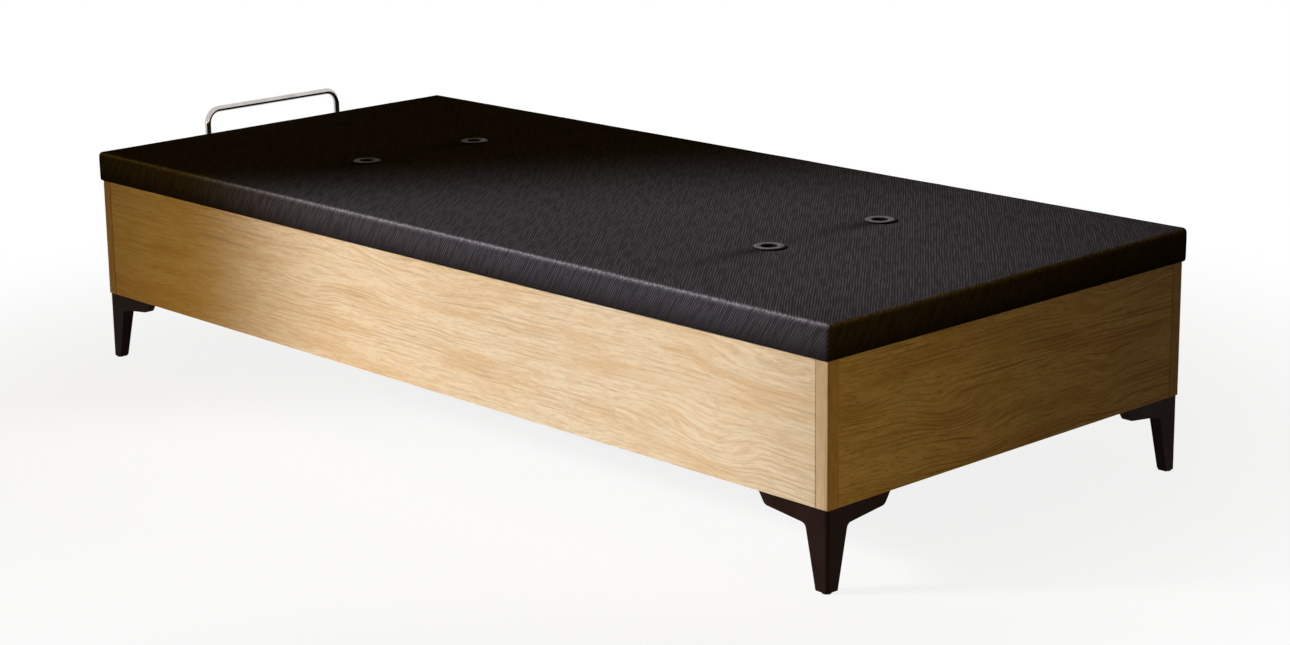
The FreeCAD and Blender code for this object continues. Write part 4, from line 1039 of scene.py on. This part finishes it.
# %% Cells
CELLS_BETWEEN_VENTS_X = 66
CELLS_BETWEEN_VENTS_Y = 19
SIDE_ROWS = 4
FREE_OF_CUTS = CORNER_RADIUS + 5 * MM
SAME_PLACE = 0.01 * MM
spacing_x = (vent_middles[0].x - vent_middles[2].x) / CELLS_BETWEEN_VENTS_X
spacing_y = (vent_middles[0].y - vent_middles[1].y) / CELLS_BETWEEN_VENTS_Y


def cut_along(shell, axis, first, spacing, low, high):
    """Cuts the shell between low and high, at every place that is whole spacings from first."""
    normal = Vector((0, 0, 0))
    normal[axis] = 1
    place = first - math.floor((first - low) / spacing) * spacing
    count = 0
    while place < high:
        geom = shell.verts[:] + shell.edges[:] + shell.faces[:]
        bmesh.ops.bisect_plane(
            shell, geom=geom, dist=SAME_PLACE, plane_co=normal * place, plane_no=normal
        )
        place += spacing
        count += 1
    return count


cuts = 0
for axis, spacing in enumerate((spacing_x, spacing_y)):
    low, high = cover_low[axis] + FREE_OF_CUTS, cover_high[axis] - FREE_OF_CUTS
    cuts += cut_along(shell, axis, vent_middles[0][axis], spacing, low, high)
row = (cover_size.z - EDGE_RADIUS) / SIDE_ROWS
cuts += cut_along(
    shell, 2, cover_low.z, row, cover_low.z + MM, cover_high.z - EDGE_RADIUS - MM
)
print("cover:", cuts, "cuts,", len(shell.faces), "faces")

# %% [markdown]
# Each vent needs a round hole. A boolean would leave ragged triangles that wrinkle when the cloth
# is pulled. Here a square patch of cells is joined to one face and inset four times, and each new
# loop of vertices is moved onto a circle, so neat rings lead from the cells to the hole.

# %% Holes for the vents
PATCH_CELLS = 3
HAIR = 0.01
LOOP_RADII = (37 * MM, 30 * MM, 24 * MM, 17.5 * MM)
INSET = 0.5 * MM
patch_reach = [(PATCH_CELLS + HAIR) * spacing for spacing in (spacing_x, spacing_y)]


def on_circle(vertex, middle, radius):
    """Moves a vertex straight out from the middle onto a circle."""
    away = Vector((vertex.co.x - middle.x, vertex.co.y - middle.y, 0)).normalized()
    vertex.co = Vector((middle.x, middle.y, vertex.co.z)) + away * radius


def is_in_patch(face, middle):
    """True for the cells of the top within a square round the middle."""
    away = face.calc_center_median() - middle
    return face.normal.z > LEVEL and abs(away.x) < patch_reach[0] and abs(away.y) < patch_reach[1]


def open_vent_hole(shell, middle):
    """Replaces a square patch by rings that end in a round hole."""
    patch = [face for face in shell.faces if is_in_patch(face, middle)]
    joined = bmesh.ops.dissolve_faces(shell, faces=patch)["region"]
    for radius in LOOP_RADII:
        bmesh.ops.inset_region(shell, faces=joined, thickness=INSET, use_even_offset=False)
        for vertex in joined[0].verts:
            on_circle(vertex, middle, radius)
    bmesh.ops.delete(shell, geom=joined, context="FACES")


for middle in vent_middles:
    open_vent_hole(shell, middle)
bmesh.ops.recalc_face_normals(shell, faces=shell.faces)
loose = [v for v in shell.verts if not v.link_faces]
bmesh.ops.delete(shell, geom=loose, context="VERTS")
print("holes:", len(shell.faces), "faces,", sum(e.is_boundary for e in shell.edges), "open edges")

# %% [markdown]
# ## Laying out the cloth
# The UV map is laid flat in metres. The ribs of the top run slantwise. The boxing strip was cut
# on another slant, so its ribs lean the other way, and lie a little closer. Unwrapping would lay
# the cloth out as well, but each side is flat, so its own two axes already measure it. An
# attribute marks the upper edge, where the cloth turns over the foam: there a highlight is
# painted.

# %% Ribs on the cloth
TOP_RIB_ANGLE = math.radians(-49.5)
SIDE_RIB_ANGLE = math.radians(58)
SIDE_RIB_CLOSER = 1.1
FACES_UP = 0.7


def turned(u, v, angle):
    """Coordinates in which the ribs run along the second axis."""
    across = u * math.sin(angle) - v * math.cos(angle)
    along = u * math.cos(angle) + v * math.sin(angle)
    return across, along


def lay_out(shell):
    """Gives every corner of the cloth its place in the flat pattern."""
    layer = shell.loops.layers.uv.new("cloth")
    for face in shell.faces:
        normal = face.normal
        for loop in face.loops:
            x, y, z = loop.vert.co
            if abs(normal.z) > FACES_UP:
                loop[layer].uv = turned(x, y, TOP_RIB_ANGLE)
            else:
                level = x if abs(normal.y) > abs(normal.x) else y
                closer = SIDE_RIB_CLOSER * level, SIDE_RIB_CLOSER * z
                loop[layer].uv = turned(*closer, SIDE_RIB_ANGLE)


lay_out(shell)
print("ribs on the top turn by", round(math.degrees(TOP_RIB_ANGLE), 1), "degrees")

# %% Painted highlight on the upper edge
# As shares of the edge's radius: how far in the painted highlight's middle lies, and how far it
# reaches.
HIGHLIGHT_MIDDLE = 0.3
HIGHLIGHT_REACH = 0.52


def mark_edge_highlight(shell):
    """1 along the rounded upper edge, falling to 0 a few millimetres away."""
    # The attribute says where the painted highlight lies along the edge.
    layer = shell.verts.layers.float.new("edge")
    for vertex in shell.verts:
        side = min(
            abs(vertex.co.x - cover_low.x), abs(cover_high.x - vertex.co.x),
            abs(vertex.co.y - cover_low.y), abs(cover_high.y - vertex.co.y),
        )
        drop = cover_high.z - vertex.co.z
        away = math.hypot(side - HIGHLIGHT_MIDDLE * EDGE_RADIUS, drop - HIGHLIGHT_MIDDLE * EDGE_RADIUS)
        vertex[layer] = max(0.0, 1.0 - away / (HIGHLIGHT_REACH * EDGE_RADIUS))
    return sum(vertex[layer] > 0 for vertex in shell.verts)


highlit = mark_edge_highlight(shell)
print("rubbed:", highlit, "of", len(shell.verts), "vertices")

# %% [markdown]
# ## Stretching the cover
# Blender's cloth simulation pulls the shell tight over the foam. The swelling could be drawn by
# hand, but tension finds it by itself, also round the corners. Air pressure stands for the foam
# that pushes from inside, the hem is stapled and the vents clamp the cloth down: there a vertex
# is pinned and doesn't move.

# %% Pins
HELD_RADIUS = 31 * MM
STAPLED_HEIGHT = 6 * MM


def from_nearest_vent(place):
    """How far a place lies from the middle of the nearest vent, seen from above."""
    return min(math.hypot(place.x - m.x, place.y - m.y) for m in vent_middles)


def is_held(place):
    """True for cloth that is stapled, or clamped by a vent's ring."""
    if place.z < cover_low.z + STAPLED_HEIGHT:
        return True
    return place.z > cover_high.z - MM and from_nearest_vent(place) < HELD_RADIUS


cover = finished("fabric_cover.finished", shell, "lid", "cover_fabric", [cover_fabric])
pins = cover.vertex_groups.new(name="pins")
held = [v.index for v in cover.data.vertices if is_held(v.co)]
pins.add(held, 1.0, "REPLACE")
print("pinned:", len(held), "of", len(cover.data.vertices))

# %% Cloth simulation
FRAMES = 16
CLOTH_SETTINGS = {
    "quality": 5,
    "mass": 0.4,
    "air_damping": 4,
    "tension_stiffness": 40,
    "compression_stiffness": 40,
    "shear_stiffness": 20,
    "bending_stiffness": 6,
    "use_pressure": True,
    "uniform_pressure_force": 4,
    "vertex_group_mass": "pins",
}


def stretch_cloth(piece):
    """Runs the simulation on the piece and gives back where each vertex ends."""
    modifier = piece.modifiers.new("stretch", "CLOTH")
    for name, value in CLOTH_SETTINGS.items():
        setattr(modifier.settings, name, value)
    modifier.settings.effector_weights.gravity = 0
    modifier.point_cache.frame_start = 1
    modifier.point_cache.frame_end = FRAMES
    for number in range(1, FRAMES + 1):
        bpy.context.scene.frame_set(number)
    evaluated = piece.evaluated_get(bpy.context.evaluated_depsgraph_get())
    places = [v.co.copy() for v in evaluated.data.vertices]
    piece.modifiers.remove(modifier)
    bpy.context.scene.frame_set(1)
    return places


rest = [v.co.copy() for v in cover.data.vertices]
outwards = [v.normal.copy() for v in cover.data.vertices]
pulled = stretch_cloth(cover)
travels = [(b - a).length for a, b in zip(rest, pulled)]
print("cloth: largest travel", round(max(travels) / MM, 2), "mm")

# %% [markdown]
# Foam is firm, so every vertex keeps only a small part of its travel, which leaves a flat top and
# softly swollen sides. Real cloth also waves a little, sinks into a shallow dimple round each
# vent, and runs from each vent in a crease towards the right side of the bed. A finer simulation
# might find creases too, but not where they are wanted, so a few smooth formulas draw them.

# %% Creases and dimples
CREASE_WIDTH = 12 * MM
CREASE_WIDENS = 0.1
CREASE_FULL_LENGTH = 30 * MM
CREASE_FADE = 90 * MM
DIMPLE_FADE = 22 * MM


def pull_crease(place):
    """0 to 1 in the crease that runs from each vent towards the right side of the bed."""
    depth = 0.0
    for middle in vent_middles:
        away = middle.y - place.y
        width = CREASE_WIDTH + CREASE_WIDENS * abs(away)
        fade = math.exp(-max(away - CREASE_FULL_LENGTH, 0.0) / CREASE_FADE) if away > 0 else 0.0
        depth += math.exp(-(((place.x - middle.x) / width) ** 2)) * fade
    return min(depth, 1.0)


def dimple(place):
    """0 to 1 in the shallow hollow round each vent."""
    return math.exp(-max(from_nearest_vent(place) - HELD_RADIUS, 0.0) / DIMPLE_FADE)


print("deepest crease:", round(max(pull_crease(place) for place in rest), 3))

# %% Swelling and waves
TRAVEL_KEPT = 0.25
LONG_WAVE_HEIGHT, LONG_WAVES_PER_METRE = 0.3 * MM, 11.0
SHORT_WAVE_HEIGHT, SHORT_WAVES_PER_METRE = 0.25 * MM, 34.0


def wave(place, per_metre, seed):
    """A smooth random value from -1 to 1. Each seed starts elsewhere in the same noise."""
    return noise.noise(place * per_metre + Vector((seed, 2.7 * seed, 0)))


def swell(rest, pulled, outward, limit):
    """Keeps a share of the outward travel: never more than the limit, and nothing inwards."""
    travel = max((pulled - rest).dot(outward), 0.0)
    return outward * limit * math.tanh(TRAVEL_KEPT * travel / limit)


def waves(place):
    """How far the cloth stands out in its waves, never inwards."""
    long_wave = LONG_WAVE_HEIGHT * (1 + wave(place, LONG_WAVES_PER_METRE, seed=1.0))
    short_wave = SHORT_WAVE_HEIGHT * wave(place, SHORT_WAVES_PER_METRE, seed=2.0)
    return max(long_wave + short_wave, 0.0)


print("highest wave:", round(max(waves(place) for place in rest) / MM, 2), "mm")

# %% Settling the cloth
TOP_TRAVEL = 1.4 * MM
SIDE_TRAVEL = 1.2 * MM
CREASE_DEPTH = 1.2 * MM


def settled(rest_place, pulled_place, outward):
    """Where a vertex ends: swollen a little, waved, and drawn in by dimples and creases."""
    top = rest_place.z > cover_high.z - 0.5 * EDGE_RADIUS
    limit = TOP_TRAVEL if top else SIDE_TRAVEL
    place = rest_place + swell(rest_place, pulled_place, outward, limit)
    if not is_held(rest_place):
        place += outward * waves(rest_place)
    if top:
        place.z = min(place.z, rest_place.z + TOP_TRAVEL * (1 - dimple(rest_place)))
        place.z -= CREASE_DEPTH * max(pull_crease(rest_place), dimple(rest_place))
    return place


for vertex, start, end, outward in zip(cover.data.vertices, rest, pulled, outwards):
    vertex.co = settled(start, end, outward)
cover.data.update()
for polygon in cover.data.polygons:
    polygon.use_smooth = True
cover.vertex_groups.clear()
print("cover top:", round(max(v.co.z for v in cover.data.vertices), 4), "m")

# %% Painted shade in the creases and towards the hem
HEM_SHADE_HEIGHT = 34 * MM
CREASE_SHADE = 0.95
HEM_SHADE = 0.8


def painted_shade_at(place):
    """How dark the painted shade is: in the creases, and on the sides towards the hem."""
    if place.z > cover_high.z - MM:
        return CREASE_SHADE * pull_crease(place)
    return HEM_SHADE * max(0.0, 1.0 - (place.z - cover_low.z) / HEM_SHADE_HEIGHT)


# The attribute carries the painted shade into the cover's colour.
darkness = cover.data.attributes.new("painted_shade", "FLOAT", "POINT")
for vertex, place in zip(darkness.data, rest):
    vertex.value = painted_shade_at(place)
print("pressed nap: up to", round(max(vertex.value for vertex in darkness.data), 2))

# %% [markdown]
# ## Cloth thickness
# A shell has no thickness, and its cells are still coarse. Two modifiers finish it: Subdivision
# Surface makes each cell four smooth ones, and Solidify gives the cloth its inner side. They
# could be applied, but as modifiers they stay easy to change.

# %% Thickness
CLOTH_THICKNESS = 1.3 * MM
finer = cover.modifiers.new("finer", "SUBSURF")
finer.levels = 1
finer.render_levels = 1
wall = cover.modifiers.new("thickness", "SOLIDIFY")
wall.thickness = CLOTH_THICKNESS
wall.offset = -1
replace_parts(cover, "fabric_cover")
print("cover:", len(cover.data.polygons), "cells")

# %% [markdown]
# ## Foam under the cover
# The pad is a firm foam sheet with holes for the vents. It could be puffed up like the cover, but
# the cover hides it from above and the lid board from below, so soft edges and the foam finish
# are enough.

# %% Foam pad
foam_pad = softened("foam_pad", 4 * MM, [foam], segments=3, longest_kept=100 * MM)
print("foam:", len(foam_pad.data.polygons), "faces")

# %% [markdown]
# ## Camera
# The camera stands near the head end on the right side, a little above the lid, and looks along
# the bed with a long lens. It could be turned until the bed fits, but that would change how its
# lines run. A small lens shift moves the bed in the frame and leaves the perspective alone.

# %% Camera
CAMERA_PLACE = Vector((3.651, -3.3549, 1.466))
CAMERA_FORWARD = Vector((-0.743859, 0.626716, -0.232166))
CAMERA_UP = Vector((-0.160053, 0.170225, 0.97232))
LENS = 75.52
SENSOR = 36.0
SHIFT_X = 0.1288
SHIFT_Y = -0.0442
FARTHEST_SEEN = 200


def make_camera():
    data = bpy.data.cameras.new("camera")
    camera = bpy.data.objects.new("camera", data)
    bpy.context.scene.collection.objects.link(camera)
    right = CAMERA_FORWARD.cross(CAMERA_UP).normalized()
    up = right.cross(CAMERA_FORWARD).normalized()
    rows = Matrix((right, up, -CAMERA_FORWARD.normalized())).transposed()
    camera.matrix_world = Matrix.Translation(CAMERA_PLACE) @ rows.to_4x4()
    data.lens = LENS
    data.sensor_width = SENSOR
    data.shift_x = SHIFT_X
    data.shift_y = SHIFT_Y
    data.clip_end = FARTHEST_SEEN
    bpy.context.scene.camera = camera
    return camera


camera = make_camera()
print("camera at", tuple(round(v, 2) for v in camera.location))

# %% [markdown]
# ## Floor and backdrop
# The floor is a wide disc. To the camera it is almost white near the bed, where it keeps a faint
# shadow, and plain white farther out, so floor and backdrop meet without a line. A white room
# would flood the bed with light, though. So light that bounces off the floor, or comes from the
# world, sees a dim warm room instead, and only the camera and reflections see white.

# %% Floor material
WARM_FLOOR, WARM_FLOOR_PALER = (0.34, 0.245, 0.095, 1), (0.37, 0.265, 0.11, 1)
SEEN_FLOOR = (0.95, 0.95, 0.95, 1)
WHITE = (1, 1, 1, 1)
# How white the floor is near the bed, and from where to where it turns to plain white.
WHITE_NEAR = 0.86
NEAR, FAR = 0.9, 2.0


def seen_directly(tree):
    """1 for rays from the camera, in a mirror or through glass."""
    path = node(tree, "LightPath", {}).outputs
    direct = maths(tree, "MAXIMUM", path["Is Camera Ray"], path["Is Glossy Ray"])
    return maths(tree, "MAXIMUM", direct, path["Is Transmission Ray"])


def floor_material():
    """A mix of a matt floor and a plain white one, for the camera more white than matt."""
    material = bpy.data.materials.new("studio floor")
    material.use_nodes = True
    tree = material.node_tree
    tree.nodes.clear()
    space = node(tree, "TexCoord", {}).outputs["Object"]
    direct = seen_directly(tree)
    tone = blended(tree, cloud(tree, space, 3.0, 3.0), WARM_FLOOR, WARM_FLOOR_PALER)
    matt = node(tree, "BsdfDiffuse", {"Color": blended(tree, direct, tone, SEEN_FLOOR)}).outputs[0]
    white = node(tree, "Emission", {"Color": WHITE, "Strength": 1.0}).outputs[0]
    distance = node(tree, "VectorMath", {0: space}, operation="LENGTH").outputs["Value"]
    whiter = product(tree, ramp(tree, distance, NEAR, FAR, WHITE_NEAR, 1.0), direct)
    mixed = node(tree, "MixShader", {0: whiter, 1: matt, 2: white}).outputs[0]
    node(tree, "OutputMaterial", {0: mixed})
    return material


floor_finish = floor_material()
print("finish:", floor_finish.name)

# %% Floor
FLOOR_RADIUS = 45.0


def make_floor():
    mesh = bmesh.new()
    bmesh.ops.create_circle(mesh, cap_ends=True, segments=96, radius=FLOOR_RADIUS)
    data = bpy.data.meshes.new("floor")
    mesh.to_mesh(data)
    mesh.free()
    data.materials.append(floor_finish)
    floor = bpy.data.objects.new("floor", data)
    bpy.context.scene.collection.objects.link(floor)
    return floor


floor = make_floor()
print("floor:", round(floor.dimensions.x), "m across")

# %% World
ROOM_STRENGTH = 0.08
ROOM_GLOW = (1.0, 0.62, 0.1, 1)


def make_world():
    """Plain white to the camera and reflections, a dim warm glow to everything else."""
    world = bpy.data.worlds.new("studio")
    bpy.context.scene.world = world
    world.use_nodes = True
    tree = world.node_tree
    direct = seen_directly(tree)
    background = tree.nodes["Background"].inputs
    tree.links.new(blended(tree, direct, ROOM_GLOW, WHITE), background["Color"])
    tree.links.new(between(tree, direct, ROOM_STRENGTH, 1.0), background["Strength"])
    return world


world = make_world()
print("world:", world.name)

# %% [markdown]
# ## Light
# The bed stands by a window. A sun lamp would give hard edges everywhere, so the window is one
# large area lamp with a narrow spread: its light is soft, but almost parallel, and falls off to
# the foot end, which stays dark. A low lamp behind grazes the far side of the bed. Two dim warm
# cards stand for what the walls of a room give back: one lights the head panel, and the other
# the dark part of the long side.

# %% A soft lamp
def soft_lamp(name, place, target, size, power, spread=180, color=(1, 1, 1)):
    """A large soft lamp that points at a target. A narrower spread lights less to its sides."""
    data = bpy.data.lights.new(name, "AREA")
    data.shape = "RECTANGLE"
    data.size, data.size_y = size
    data.energy = power
    data.spread = math.radians(spread)
    data.color = color
    lamp = bpy.data.objects.new(name, data)
    bpy.context.scene.collection.objects.link(lamp)
    lamp.location = place
    lamp.visible_camera = False
    lamp.rotation_mode = "QUATERNION"
    lamp.rotation_quaternion = (Vector(target) - Vector(place)).to_track_quat("-Z", "Y")


print("helper:", soft_lamp.__name__)

# %% Lamps
WARM = (1.0, 0.62, 0.12)
soft_lamp(
    "window", place=(-1.02, -2.18, 1.36), target=(0.5, -0.28, 0.15), size=(1.2, 1.35),
    power=6.65, spread=16,
)
soft_lamp(
    "back window", place=(-2.3, 3.0, 0.26), target=(-0.4, 0.1, 0.2), size=(2.4, 0.5), power=40
)
soft_lamp(
    "warm card", place=(2.6, -1.05, 0.5), target=(1.0, -0.54, 0.25), size=(0.6, 0.5),
    power=0.36, spread=50, color=WARM,
)
soft_lamp(
    "foot card", place=(-0.95, -2.4, 0.4), target=(-0.58, -0.45, 0.15), size=(0.6, 0.4),
    power=0.55, spread=40, color=WARM,
)
print("lamps:", len(bpy.data.lights))

# %% [markdown]
# ## Colours
# Blender's usual view softens bright colours like a film. The Standard view shows a colour as it
# is written. Cloth may stand a few millimetres proud of the CAD box, but nothing may make the bed
# bigger.

# %% Colours as they are written
bpy.context.scene.view_settings.view_transform = "Standard"
print("view:", bpy.context.scene.view_settings.view_transform)
